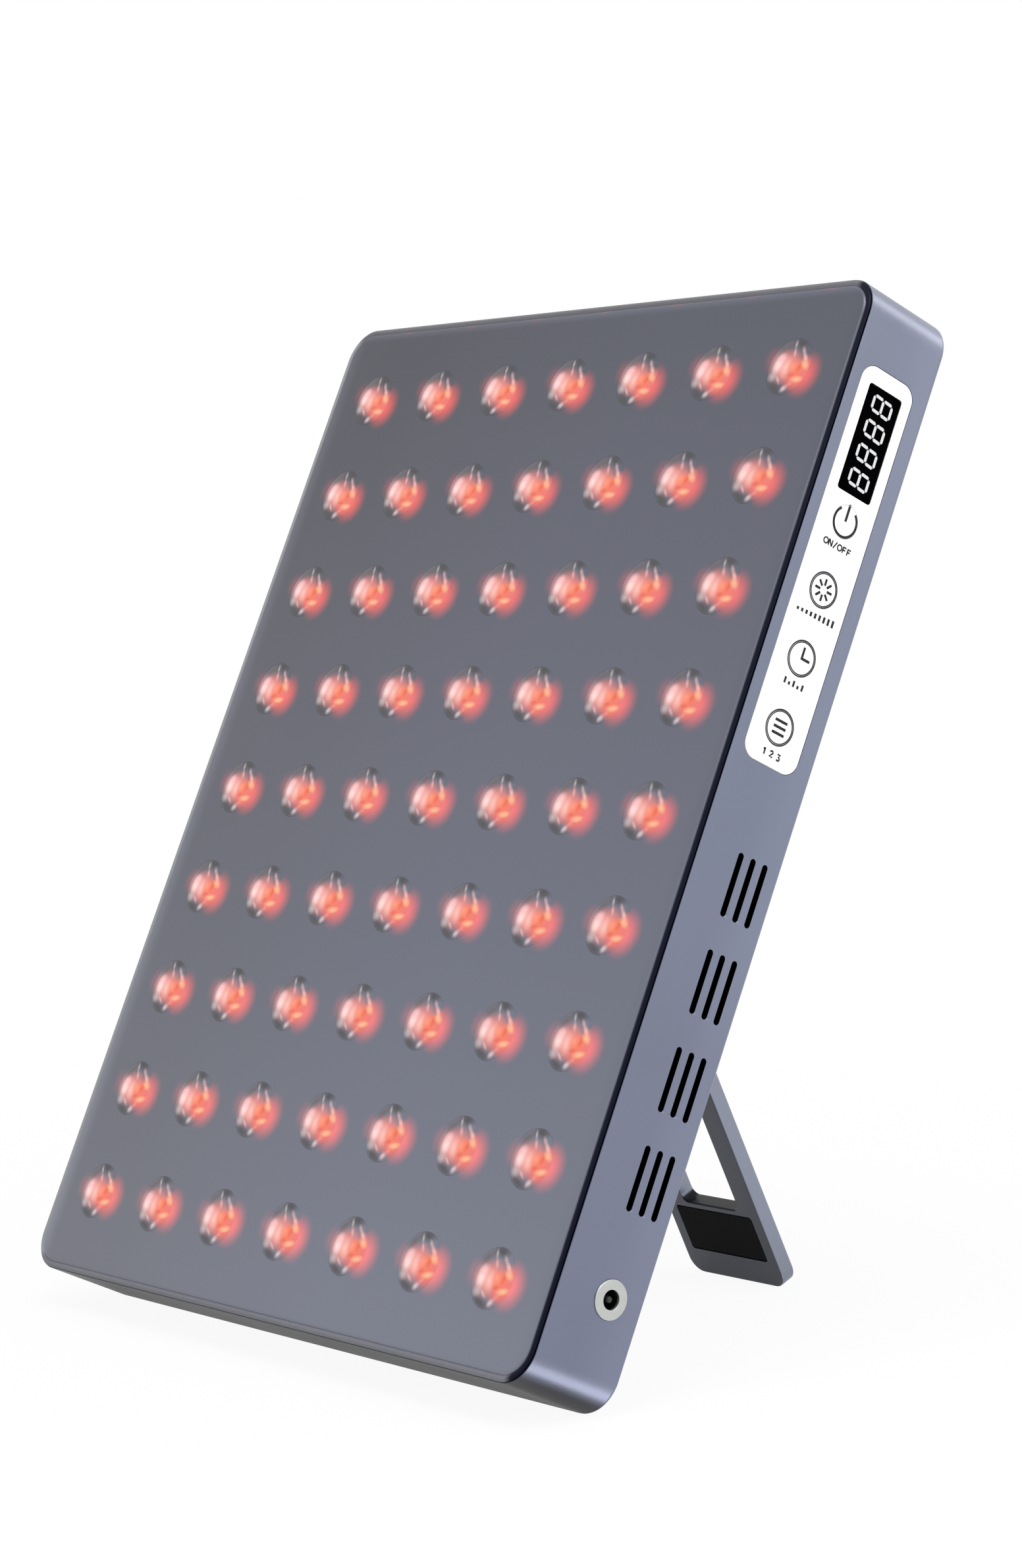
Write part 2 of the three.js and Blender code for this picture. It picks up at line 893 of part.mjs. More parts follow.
function tactileSwitch(z) {
  const base = controlBoardFace + seatGap;
  const body = sideSlab(
    rectangleOutline(switchBodySize, switchBodySize),
    base,
    base + switchBodyHeight,
    fasciaCentreDepth,
    z,
  );
  const button = rodAlongX(
    switchButtonRadius,
    base + switchBodyHeight - bite,
    switchButtonFace(),
    fasciaCentreDepth,
    z,
    smallRoundSides,
  );
  return join(body, button);
}

// Bright ring of the jack, with the threaded tube that passes through the wall
function jackBezel() {
  const inner = jackThreadRadius - jackThreadWall;
  const tubeEnd = jackShoulder + jackShoulderGap;
  return turnedAlongX(
    [
      [inner, tubeEnd],
      [jackThreadRadius, tubeEnd],
      [jackThreadRadius, bezelBack],
      [bezelRadius, bezelBack],
      [bezelRadius, bezelFace - bezelProud],
      [bezelRadius - bezelProud, bezelFace],
      [bezelMouthRadius, bezelFace],
      [bezelMouthRadius, bezelBack],
      [inner, bezelBack],
      [inner, tubeEnd],
    ],
    jackDepth,
    jackHeight,
    roundSides,
  );
}

// Insulated socket, open at its mouth, with a small bore for the centre contact
function jackBody() {
  const mouth = bezelBack - seatGap;
  const outside = turnedAlongX(
    [
      [0, jackTail],
      [jackRearRadius, jackTail],
      [jackRearRadius, jackShoulder],
      [jackNoseRadius, jackShoulder],
      [jackNoseRadius, mouth],
      [0, mouth],
    ],
    jackDepth,
    jackHeight,
    roundSides,
  );
  const bore = rodAlongX(jackBoreRadius, jackBoreEnd, mouth + overrun, jackDepth, jackHeight);
  const contactBore = rodAlongX(
    jackPinRadius + seatGap,
    jackBoreEnd - jackRearLength / 2,
    jackBoreEnd + overrun,
    jackDepth,
    jackHeight,
  );
  return cut(outside, bore, contactBore);
}

function jackPin() {
  const root = jackBoreEnd - jackRearLength / 2 + seatGap;
  const tip = wallFace - jackPinTipInset;
  return turnedAlongX(
    [
      [0, root],
      [jackPinRadius, root],
      [jackPinRadius, tip - jackPinRadius / 2],
      [jackPinRadius / 2, tip],
      [0, tip],
    ],
    jackDepth,
    jackHeight,
    smallRoundSides,
  );
}

function jackNut() {
  const outerFace = wallInside - seatGap;
  const corner = boreCorner(jackThreadRadius + jackNutWall, hexSides);
  const block = rodAlongX(
    corner,
    outerFace - jackNutThickness,
    outerFace,
    jackDepth,
    jackHeight,
    hexSides,
  );
  const hole = rodAlongX(
    jackThreadRadius + slideGap,
    outerFace - jackNutThickness - overrun,
    outerFace + overrun,
    jackDepth,
    jackHeight,
  );
  return cut(block, hole);
}

// A lead along a smooth curve that leaves each end straight
function lead(radius, start, startWay, end, endWay) {
  const run = leadRunLength;
  const path = new THREE.CatmullRomCurve3([
    start,
    start.clone().addScaledVector(startWay, run),
    end.clone().addScaledVector(endWay, run),
    end,
  ]);
  const section = new THREE.Shape(
    Array.from({ length: leadSides }, (_, side) => {
      const angle = (side / leadSides) * 2 * Math.PI;
      return new THREE.Vector2(radius * Math.cos(angle), radius * Math.sin(angle));
    }),
  );
  const tube = new THREE.ExtrudeGeometry(section, { steps: leadSteps, extrudePath: path });
  return solidOf(tube);
}

const towardsLeft = new THREE.Vector3(-1, 0, 0);
const towardsRight = new THREE.Vector3(1, 0, 0);
const towardsRear = new THREE.Vector3(0, 1, 0);
const downwards = new THREE.Vector3(0, 0, -1);
const terminalDepth = componentBack - terminalHeight / 2;
const terminalWire = terminalLength * terminalWireShare;

function powerLead() {
  const { x, z } = driverPlace(...terminalPlaceShares);
  return lead(
    powerLeadRadius,
    new THREE.Vector3(jackTail - seatGap, jackDepth, jackHeight),
    towardsLeft,
    new THREE.Vector3(x + terminalWidth / 2 + seatGap, terminalDepth, z - terminalWire),
    towardsRight,
  );
}

function controlLead() {
  const { x, z } = driverPlace(...terminalPlaceShares);
  return lead(
    thinLeadRadius,
    new THREE.Vector3(
      controlBoardFace - controlBoardThickness / 2,
      fasciaCentreDepth + controlBoardWidth * controlWireShare,
      fasciaCentreHeight - controlBoardLength / 2 - seatGap,
    ),
    downwards,
    new THREE.Vector3(x + terminalWidth / 2 + seatGap, terminalDepth, z + terminalWire),
    towardsRight,
  );
}

function ledLead() {
  const { x, z } = driverPlace(...ledTerminalPlaceShares);
  return lead(
    thinLeadRadius,
    new THREE.Vector3(x - terminalWidth / 2 - seatGap, terminalDepth, z),
    towardsLeft,
    new THREE.Vector3(
      -ledBoardWidth / 2 + ledGridShift + spreaderMargin / 2,
      ledBoardBack + seatGap,
      z - terminalLength,
    ),
    towardsRear,
  );
}

// A pan-head screw through the hinge base, or with a gap the space that its shank needs
function hingeScrew(x, z, gap) {
  const underHead = hingeBaseBack + seatGap;
  const shankEnd = underHead - hingeScrewLength - gap;
  const shank = rodAlongY(screwShankRadius + gap, shankEnd, underHead + bite, x, z, smallRoundSides);
  if (gap > 0) return shank;
  const head = turnedAlongY(
    [
      [0, underHead],
      [hingeScrewHeadRadius, underHead],
      [hingeScrewHeadRadius, underHead + hingeScrewHeadThickness / 2],
      [hingeScrewHeadRadius / 2, underHead + hingeScrewHeadThickness],
      [0, underHead + hingeScrewHeadThickness],
    ],
    x,
    z,
    smallRoundSides,
  );
  return join(shank, head);
}

// Hinge base on the rear cover: a plate above the stand's top edge and an ear at each side
function hingeBase() {
  const plate = depthSlab(
    roundedOutline(2 * earOutside, hingeBaseHeight, hingeBaseCornerRadius, slotEndSteps),
    hingeBaseFront,
    hingeBaseBack,
    0,
    hingeBaseBottom + hingeBaseHeight / 2,
  );
  const ears = [-earOutside, earInside].map((from) =>
    sideSlab(earOutline(), from, from + earThickness),
  );
  const pinHole = rodAlongX(
    boreCorner(pinRadius + seatGap, roundSides),
    -earOutside - overrun,
    earOutside + overrun,
    hingeDepth,
    hingeHeight,
  );
  return cut(
    join(plate, ears),
    pinHole,
    hingeScrewPlaces.map(({ x, z }) => hingeScrew(x, z, slideGap)),
  );
}

// An ear's outline: round about the pin, sloping up to the top of the base plate
function earOutline() {
  const outline = new THREE.Shape();
  const top = hingeBaseBottom + hingeBaseHeight - hingeBaseCornerRadius;
  outline.moveTo(hingeBaseFront, top);
  outline.lineTo(hingeBaseFront, hingeHeight);
  outline.absarc(hingeDepth, hingeHeight, hingeDepth - hingeBaseFront, Math.PI, 2 * Math.PI);
  outline.lineTo(hingeBaseBack, top);
  return outline.getPoints(edgeSteps);
}

function hingePin() {
  const headInner = earOutside + seatGap;
  const headOuter = headInner + pinHeadThickness;
  return turnedAlongX(
    [
      [0, -headOuter],
      [pinHeadRadius / 2, -headOuter],
      [pinHeadRadius, -headInner],
      [pinRadius, -headInner],
      [pinRadius, headInner],
      [pinHeadRadius, headInner],
      [pinHeadRadius / 2, headOuter],
      [0, headOuter],
    ],
    hingeDepth,
    hingeHeight,
    roundSides,
  );
}

function frictionWasher(side) {
  const middle = side * (standWidth / 2 + seatGap + washerThickness / 2);
  const from = middle - washerThickness / 2;
  const to = middle + washerThickness / 2;
  const ring = rodAlongX(washerRadius, from, to, hingeDepth, hingeHeight);
  const hole = rodAlongX(
    boreCorner(pinRadius + seatGap, roundSides),
    from - overrun,
    to + overrun,
    hingeDepth,
    hingeHeight,
  );
  return cut(ring, hole);
}

// Stand, drawn folded: its hinge axis is the origin and its foot points down
function standFrame() {
  const outline = standOutline();
  outline.holes.push(standWindow());
  const slab = new THREE.ExtrudeGeometry(outline, {
    depth: standThickness - 2 * standEdgeChamfer,
    bevelThickness: standEdgeChamfer,
    bevelSize: standEdgeChamfer,
    bevelOffset: -standEdgeChamfer,
    bevelSegments: 1,
    curveSegments: edgeSteps,
  });
  const plate = solidOf(
    slab.rotateX(Math.PI / 2).translate(0, standHalf - standEdgeChamfer, 0),
  );
  const bore = rodAlongX(
    boreCorner(pinRadius + runningGap, roundSides),
    -standWidth / 2 - overrun,
    standWidth / 2 + overrun,
    0,
    0,
  );
  const pocket = padSlab(seatGap, -standHalf - overrun, -standHalf + padThickness);
  return cut(plate, bore, pocket);
}

function standOutline() {
  const half = standWidth / 2;
  const outline = new THREE.Shape();
  outline.absarc(half - standTopRadius, heelLength - standTopRadius, standTopRadius, 0, Math.PI / 2);
  outline.absarc(
    standTopRadius - half,
    heelLength - standTopRadius,
    standTopRadius,
    Math.PI / 2,
    Math.PI,
  );
  outline.absarc(
    standFootRadius - half,
    standFootRadius - standLength,
    standFootRadius,
    Math.PI,
    (3 * Math.PI) / 2,
  );
  outline.absarc(
    half - standFootRadius,
    standFootRadius - standLength,
    standFootRadius,
    (3 * Math.PI) / 2,
    2 * Math.PI,
  );
  outline.closePath();
  return outline;
}

function standWindow() {
  const height = standWindowEnd - standTopLength;
  const middle = -(standWindowEnd + standTopLength) / 2;
  const points = roundedOutline(
    standWidth - 2 * standRailWidth,
    height,
    standWindowRadius,
    edgeSteps,
  );
  return new THREE.Path(points.map(({ x, y }) => new THREE.Vector2(x, y + middle)));
}

// The pad's slab, or with a gap the pocket that it lies in
function padSlab(gap, from, to) {
  return depthSlab(
    roundedOutline(
      standWidth - 2 * padSideInset + 2 * gap,
      padEnd - padStart + 2 * gap,
      padRadius + gap,
      edgeSteps,
    ),
    from,
    to,
    0,
    -(padStart + padEnd) / 2,
  );
}

function standPad() {
  return padSlab(0, -standHalf, -standHalf + padThickness - seatGap);
}

// Assembly
const stand = new THREE.Group();
stand.add(
  piece("stand_frame", standFrame(), housingPaint),
  piece("stand_pad", standPad(), rubberBlack),
);
stand.position.set(0, hingeDepth, hingeHeight);
stand.rotation.x = openAngle;

const panel = new THREE.Group();
panel.add(
  piece("front_plate", frontPlate(), platePaint),
  piece("seal_gasket", sealGasket(), rubberBlack),
  piece("side_frame", sideFrame(), housingPaint),
  piece("rear_cover", rearCover(), housingPaint),
  piece("led_board", ledBoard(), clearLens),
  piece("heat_spreader", heatSpreader(), bareAluminium),
  piece("driver_board", driverBoard(), boardGreen),
  piece("driver_inductor", driverInductor(), blackPlastic),
  piece("driver_terminal", terminalBlock(terminalPlaceShares), blackPlastic),
  piece("led_terminal", terminalBlock(ledTerminalPlaceShares), blackPlastic),
  piece("control_fascia", controlFascia(), whiteGloss),
  piece("display_window", displayWindow(), blackGloss),
  piece("display_module", displayModule(), blackPlastic),
  piece("control_board", controlBoard(), boardGreen),
  piece("jack_bezel", jackBezel(), steel),
  piece("jack_body", jackBody(), blackPlastic),
  piece("jack_pin", jackPin(), steel),
  piece("jack_nut", jackNut(), steel),
  piece("power_lead", powerLead(), leadRed),
  piece("control_lead", controlLead(), blackPlastic),
  piece("led_lead", ledLead(), leadRed),
  piece("hinge_base", hingeBase(), steel),
  piece("hinge_pin", hingePin(), steel),
  piece("friction_washer_left", frictionWasher(-1), steel),
  piece("friction_washer_right", frictionWasher(1), steel),
  stand,
);
capacitorPlaceShares.forEach((shares, index) => {
  panel.add(piece(`driver_capacitor_${index + 1}`, driverCapacitor(shares), capacitorSleeve));
});
keyPlaces.forEach(({ key: name, z }) => {
  panel.add(
    piece(`${name}_key`, key(z), whiteGloss),
    piece(`${name}_switch`, tactileSwitch(z), blackPlastic),
  );
});
coverScrewPlaces.forEach(({ x, z }, index) => {
  panel.add(piece(`cover_screw_${index + 1}`, countersunkScrew(x, z, 0), steel));
});
hingeScrewPlaces.forEach(({ x, z }, index) => {
  panel.add(piece(`hinge_screw_${index + 1}`, hingeScrew(x, z, 0), steel));
});

// The lean that puts the foot's lower inner edge level with the housing's rounded rear edge
const footHeight =
  hingeHeight -
  standLength * Math.cos(openAngle) -
  (standHalf - standEdgeChamfer) * Math.sin(openAngle);
const footDepth =
  hingeDepth +
  standLength * Math.sin(openAngle) -
  (standHalf - standEdgeChamfer) * Math.cos(openAngle);
const riseToFoot = footHeight - (rearEdgeRadius - housingHeight / 2);
const reachToFoot = footDepth - (housingDepth - rearEdgeRadius);
const footSpan = Math.hypot(riseToFoot, reachToFoot);
const leanAngle =
  Math.acos(-rearEdgeRadius / footSpan) - Math.atan2(reachToFoot, riseToFoot);
panel.rotation.x = -leanAngle;

// The origin is the middle of the part's footprint, on the floor
const part = new THREE.Group();
part.add(panel);
part.updateMatrixWorld(true);
const extent = new THREE.Box3().setFromObject(panel, true);
const centre = extent.getCenter(new THREE.Vector3());
panel.position.set(-centre.x, -centre.y, -extent.min.z);

export default part;
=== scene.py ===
"""Looks of a red light therapy panel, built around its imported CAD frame."""
import math

import bmesh
import bpy
from mathutils import Matrix, Vector, geometry


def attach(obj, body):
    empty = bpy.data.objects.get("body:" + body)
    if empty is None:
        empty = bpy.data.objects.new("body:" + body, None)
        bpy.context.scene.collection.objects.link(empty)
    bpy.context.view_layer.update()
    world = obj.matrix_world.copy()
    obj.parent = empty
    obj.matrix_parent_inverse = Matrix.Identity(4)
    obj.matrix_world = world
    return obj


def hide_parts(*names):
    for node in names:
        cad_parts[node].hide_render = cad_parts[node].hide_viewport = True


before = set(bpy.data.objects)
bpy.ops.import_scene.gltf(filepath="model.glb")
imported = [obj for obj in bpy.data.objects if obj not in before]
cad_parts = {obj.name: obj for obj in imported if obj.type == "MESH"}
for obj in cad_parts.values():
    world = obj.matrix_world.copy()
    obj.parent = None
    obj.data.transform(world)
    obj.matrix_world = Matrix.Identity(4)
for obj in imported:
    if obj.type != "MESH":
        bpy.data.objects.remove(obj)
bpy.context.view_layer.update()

# Places of the panel and the folding stand in the row frame. Their own lengths are millimetres.
LEAN = math.radians(24.610424771)
OPEN = math.radians(49.55)
PANEL_ORIGIN = Vector((-0.0002, -0.026375771, 0.151289803))
HINGE = (0.0, 34.14, 23.25)
PANEL = (
    Matrix.Translation(PANEL_ORIGIN)
    @ Matrix.Rotation(-LEAN, 4, "X")
    @ Matrix.Scale(0.001, 4)
)
STAND = PANEL @ Matrix.Translation(HINGE) @ Matrix.Rotation(OPEN, 4, "X")

# Sizes that follow the CAD source
WIDTH, HEIGHT, DEPTH, CORNER = 239.0, 306.2, 30.3, 10.2
PLATE_INSET, PLATE_THICK = 1.7, 2.5
PITCH, SHIFT, COLUMNS, ROWS = 32.0, -1.1, 7, 9
LENS = 8.2
FACE = WIDTH / 2
FASCIA_Y, FASCIA_Z, FASCIA_WIDE, FASCIA_LONG = 14.6, 74.9, 19.5, 111.6
DISPLAY_Z, DISPLAY_WIDE, DISPLAY_LONG = 110.9, 12.6, 30.4
KEYS = {"mode": 29.9, "time": 49.367, "brightness": 68.833, "power": 88.3}
VENT_Y, VENT_Z, VENT_STEP, SLOT_STEP, SLOT_WIDE, SLOT_LONG = 19.85, -13.5, 26.6, 4.45, 1.9, 17.4
JACK = (18.75, -124.5)
COVER_BACK, COVER_FRONT = 30.3, 28.5
STAND_LONG, STAND_TOP, STAND_FOOT = 173.55, 18.55, 26.0
LENSES = [
    (SHIFT + (column - (COLUMNS - 1) / 2) * PITCH, (row - (ROWS - 1) / 2) * PITCH)
    for row in range(ROWS)
    for column in range(COLUMNS)
]
RIGHT, LEFT = 1, -1
CORNERS = ((1, 1), (-1, 1), (-1, -1), (1, -1))

# How far the painted light, reflections and shade of a lens turn for each millimetre up the panel
LENS_TURN = 0.0009


# ---- colour and material helpers
def linear(value):
    value /= 255
    return value / 12.92 if value <= 0.04045 else ((value + 0.055) / 1.055) ** 2.4


def rgb(*values):
    return tuple(linear(v) for v in values) + (1.0,)


# The line round the front plate, painted reflection and shade: where its tone changes, in panel
# millimetres, and its colours
LINE_FOOT, LINE_TOP, LINE_RIGHT = (-150.5, -148.5), (147.5, 150.5), (111.0, 114.0)
LINE_GREY, LINE_NAVY = rgb(150, 151, 155), rgb(3, 7, 29)

# Surface variation of every finish
BROAD_SCALE, GRAIN_DETAIL, GRAIN_DEPTH = 30.0, 3.0, 0.0002
GRAIN_LOW, GRAIN_HIGH = 0.3, 0.7


class Nodes:
    """A node tree with short calls for the nodes that it needs."""

    def __init__(self, tree):
        self.tree = tree

    def node(self, kind, inputs=None, **settings):
        made = self.tree.nodes.new(kind)
        for key, value in settings.items():
            setattr(made, key, value)
        for key, value in (inputs or {}).items():
            self.feed(made.inputs[key], value)
        return made

    def feed(self, socket, value):
        if isinstance(value, bpy.types.NodeSocket):
            self.tree.links.new(value, socket)
        else:
            socket.default_value = value

    def math(self, operation, a, b=0.0):
        return self.node("ShaderNodeMath", {0: a, 1: b}, operation=operation).outputs[0]

    def product(self, first, *others):
        for other in others:
            first = self.math("MULTIPLY", first, other)
        return first

    def ramp(self, value, low, high, start=0.0, end=1.0):
        """A smooth step from start at low to end at high."""
        inputs = {"Value": value, 1: low, 2: high, 3: start, 4: end}
        return self.node("ShaderNodeMapRange", inputs, interpolation_type="SMOOTHSTEP").outputs[0]

    def mix(self, share, a, b, blend="MIX"):
        inputs = {"Factor": share, "A": a, "B": b}
        made = self.node("ShaderNodeMix", inputs, data_type="RGBA", blend_type=blend)
        return made.outputs["Result"]

    def place(self):
        """Places in the row frame, in metres."""
        return self.node("ShaderNodeTexCoord").outputs["Object"]

    def mapping(self, kind, vector, location, rotation, scale):
        inputs = {"Vector": vector, "Location": location, "Rotation": rotation, "Scale": scale}
        return self.node("ShaderNodeMapping", inputs, vector_type=kind).outputs[0]

    def panel_place(self):
        """Places in the panel's own millimetres."""
        turned = Matrix.Rotation(LEAN, 4, "X") @ (PANEL_ORIGIN * -1000)
        return self.mapping("POINT", self.place(), turned, (LEAN, 0, 0), (1000, 1000, 1000))

    def along(self, vector, way):
        """How far a direction agrees with a fixed one."""
        inputs = {0: vector, 1: way}
        return self.node("ShaderNodeVectorMath", inputs, operation="DOT_PRODUCT").outputs["Value"]

    def split(self, vector):
        return self.node("ShaderNodeSeparateXYZ", {0: vector}).outputs

    def length(self, vector):
        inputs = {0: vector}
        return self.node("ShaderNodeVectorMath", inputs, operation="LENGTH").outputs["Value"]

    def noise(self, scale, detail=2.0):
        inputs = {"Vector": self.place(), "Scale": scale, "Detail": detail}
        return self.node("ShaderNodeTexNoise", inputs).outputs[0]

    def lens_place(self):
        """Places about the nearest lens, in lens radii, turned a little more with height."""
        x, _, z = self.split(self.panel_place())
        places = []
        for value, shift in ((x, SHIFT), (z, 0.0)):
            moved = self.math("ADD", value, PITCH / 2 - shift)
            wrapped = self.math("FLOORED_MODULO", moved, PITCH)
            places.append(self.math("DIVIDE", self.math("SUBTRACT", wrapped, PITCH / 2), LENS))
        turn = self.math("MULTIPLY", z, LENS_TURN)
        across = self.math("SUBTRACT", places[0], self.math("MULTIPLY", places[1], turn))
        up = self.math("ADD", places[1], self.math("MULTIPLY", places[0], turn))
        return self.node("ShaderNodeCombineXYZ", {0: across, 1: up}).outputs[0]

    def blob(self, vector, centre, size, angle=0.0, core=0.0):
        """1 in the core of an ellipse, smoothly down to 0 at its edge."""
        turn = (0, 0, math.radians(angle))
        placed = self.mapping("TEXTURE", vector, (*centre, 0), turn, (*size, 1))
        return self.ramp(self.length(placed), core, 1.0, 1.0, 0.0)

    def stops(self, value, pairs):
        """A colour that follows a value through (value, 0 to 255 colour) pairs in rising order."""
        low, high = pairs[0][0], pairs[-1][0]
        share = self.node("ShaderNodeMapRange", {"Value": value, 1: low, 2: high}).outputs[0]
        made = self.node("ShaderNodeValToRGB", {0: share})
        elements = made.color_ramp.elements
        elements[0].color, elements[1].color = rgb(*pairs[0][1]), rgb(*pairs[-1][1])
        for at, colour in pairs[1:-1]:
            elements.new((at - low) / (high - low)).color = rgb(*colour)
        return made.outputs[0]

    def scaled(self, colour, share):
        """A colour, fixed or from a node, times a share."""
        inputs = {0: colour[:3] if isinstance(colour, tuple) else colour, "Scale": share}
        return self.node("ShaderNodeVectorMath", inputs, operation="SCALE").outputs[0]


class Paint(Nodes):
    """A material of such nodes."""

    def __init__(self, name, **sockets):
        self.material = bpy.data.materials.new(name)
        self.material.use_nodes = True
        super().__init__(self.material.node_tree)
        self.shader = self.tree.nodes["Principled BSDF"]
        self.output = self.tree.nodes["Material Output"]
        self.shade(**sockets)

    def edge_tone(self, x, z, foot, top):
        """The line round the front plate, painted reflection and shade: navy beside the right wall,
        grey on the other sides.
        """
        tone = self.mix(self.ramp(z, *LINE_FOOT), foot, LINE_GREY)
        tone = self.mix(self.ramp(z, *LINE_TOP), tone, top)
        return self.mix(self.ramp(x, *LINE_RIGHT), tone, LINE_NAVY)

    def shade(self, **sockets):
        """Feeds sockets of the shader, named with _ for a space."""
        for socket, value in sockets.items():
            self.feed(self.shader.inputs[socket.replace("_", " ")], value)

    def finish(self, colour, roughness, vary=0.04, grain=900.0, rough_vary=0.05, bump=0.05):
        """Base colour with slight mottling, roughness that varies and a fine surface grain."""
        broad = self.noise(BROAD_SCALE, GRAIN_DETAIL)
        fine = self.noise(grain, GRAIN_DETAIL)
        both = self.math("ADD", self.math("MULTIPLY", broad, 0.5), self.math("MULTIPLY", fine, 0.5))
        tone = self.ramp(both, GRAIN_LOW, GRAIN_HIGH, 1 - vary, 1 + vary)
        smooth, coarse = roughness - rough_vary, roughness + rough_vary
        rough = self.ramp(both, GRAIN_LOW, GRAIN_HIGH, smooth, coarse)
        self.shade(Base_Color=self.scaled(colour, tone), Roughness=rough)
        if bump:
            inputs = {"Height": fine, "Strength": bump, "Distance": GRAIN_DEPTH}
            self.shade(Normal=self.node("ShaderNodeBump", inputs).outputs[0])
        return self


# ---- mesh helpers
class Shell:
    """A mesh from loops of points, in the millimetres of its own body.

    mark is the material slot of the faces that are made next.
    """

    def __init__(self):
        self.points, self.faces, self.marks, self.mark = [], [], [], 0

    def loop(self, points):
        first = len(self.points)
        self.points.extend(Vector(p) for p in points)
        return list(range(first, len(self.points)))

    def face(self, corners):
        self.faces.append(corners)
        self.marks.append(self.mark)

    def bridge(self, a, b):
        count = len(a)
        for i in range(count):
            j = (i + 1) % count
            self.face((a[i], a[j], b[j], b[i]))

    def strips(self, rings):
        made = [self.loop(ring) for ring in rings]
        for a, b in zip(made, made[1:]):
            self.bridge(a, b)
        return made

    def block(self, rings):
        """Strips with a flat face at both ends."""
        loops = self.strips(rings)
        self.cap(loops[0])
        self.cap(loops[-1])

    def cap(self, outer, holes=(), axes=(0, 2)):
        """A flat face inside one loop and outside others, whose plane has the given axes."""
        if not holes:
            self.face(tuple(outer))
            return

        def flattened(loop):
            return [Vector(self.points[i][axis] for axis in axes) for i in loop]

        loops = [outer, *holes]
        order = [index for loop in loops for index in loop]
        edges, first = [], 0
        for loop in loops:
            count = len(loop)
            edges += [(first + i, first + (i + 1) % count) for i in range(count)]
            first += count
        result = geometry.delaunay_2d_cdt(flattened(order), edges, [], 1, 1e-6)
        flat, triangles, sources = result[0], result[2], result[3]
        names = [order[ids[0]] for ids in sources]
        rings = []
        for ring in map(flattened, holes):
            low, high = Vector(map(min, zip(*ring))), Vector(map(max, zip(*ring)))
            rings.append((low, high, ring))
        for triangle in triangles:
            centre = sum((flat[i] for i in triangle), Vector((0, 0))) / 3
            if not any(inside(centre, *ring) for ring in rings):
                self.face(tuple(names[i] for i in triangle))

    def add(self, other, move=(0, 0, 0)):
        first = len(self.points)
        self.points.extend(p + Vector(move) for p in other.points)
        self.faces.extend(tuple(i + first for i in face) for face in other.faces)
        self.marks.extend(other.marks)


def inside(point, low, high, ring):
    """Whether a ring, given with its box, holds a point."""
    if not (low.x < point.x < high.x and low.y < point.y < high.y):
        return False
    crossings = 0
    for a, b in zip(ring, ring[1:] + ring[:1]):
        if (a.y > point.y) != (b.y > point.y):
            at = a.x + (point.y - a.y) / (b.y - a.y) * (b.x - a.x)
            crossings += at > point.x
    return crossings % 2 == 1


def linked(name, data):
    """A new object in the scene."""
    made = bpy.data.objects.new(name, data)
    bpy.context.scene.collection.objects.link(made)
    return made


def piece(name, shell, paints, replaces=(), body="panel", at=PANEL, sharp=35.0):
    """A named mesh from a shell, placed in the row frame, that rides on a body."""
    mesh = bpy.data.meshes.new(name)
    mesh.from_pydata([tuple(p) for p in shell.points], [], shell.faces)
    for paint in paints:
        mesh.materials.append(paint.material)
    mesh.polygons.foreach_set("material_index", shell.marks)
    work = bmesh.new()
    work.from_mesh(mesh)
    bmesh.ops.recalc_face_normals(work, faces=work.faces)
    work.to_mesh(mesh)
    work.free()
    mesh.transform(at)
    mesh.shade_smooth()
    mesh.set_sharp_from_angle(angle=math.radians(sharp))
    made = linked(name, mesh)
    weighted = made.modifiers.new("even", "WEIGHTED_NORMAL")
    weighted.keep_sharp = True
    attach(made, body)
    if replaces:
        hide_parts(*replaces)


CORNER_STEPS = 18


def polar(radius, angle, middle=(0.0, 0.0)):
    return (middle[0] + radius * math.cos(angle), middle[1] + radius * math.sin(angle))


def rounded(width, height, radius, steps=CORNER_STEPS):
    """A rounded rectangle about the origin, anticlockwise."""
    points = []
    for turn, (across, up) in enumerate(CORNERS):
        for step in range(steps + 1):
            middle = (across * (width / 2 - radius), up * (height / 2 - radius))
            points.append(polar(radius, (turn + step / steps) * math.pi / 2, middle))
    return points


def circle(radius, steps, middle=(0.0, 0.0)):
    return [polar(radius, 2 * math.pi * i / steps, middle) for i in range(steps)]


def arc(radius, start, end, steps, middle=(0.0, 0.0)):
    """Points from one angle to another, in degrees."""
    turn = end - start
    return [
        polar(radius, math.radians(start + turn * i / steps), middle) for i in range(steps + 1)
    ]


def frame_ring(inset, y):
    """The housing's outline at a depth, drawn in by an inset."""
    outline = rounded(WIDTH - 2 * inset, HEIGHT - 2 * inset, CORNER - inset)
    return [(x, y, z) for x, z in outline]


def quarter(radius, steps, start=0.0, end=90.0):
    """(drawn in, back) pairs of a quarter round."""
    pairs = []
    for step in range(steps + 1):
        angle = math.radians(start + (end - start) * step / steps)
        pairs.append((radius * (1 - math.sin(angle)), radius * (1 - math.cos(angle))))
    return pairs


def turned(profile, steps, axis="Y", middle=(0.0, 0.0)):
    """A profile of (radius, along) pairs turned about X or Y; a radius of 0 closes an end."""
    made = Shell()
    rings = []
    for radius, along in profile:
        ring = circle(radius, steps, middle) if radius > 0 else [middle]
        placed = [(along, p, q) if axis == "X" else (p, along, q) for p, q in ring]
        rings.append(made.loop(placed))
    for a, b in zip(rings, rings[1:]):
        for i in range(steps):
            j = (i + 1) % steps
            corners = (a[i % len(a)], a[j % len(a)], b[j % len(b)], b[i % len(b)])
            made.face(tuple(dict.fromkeys(corners)))
    return made


# ---- materials
def anodised(name):
    return Paint(name, Metallic=0.86, IOR=1.5)


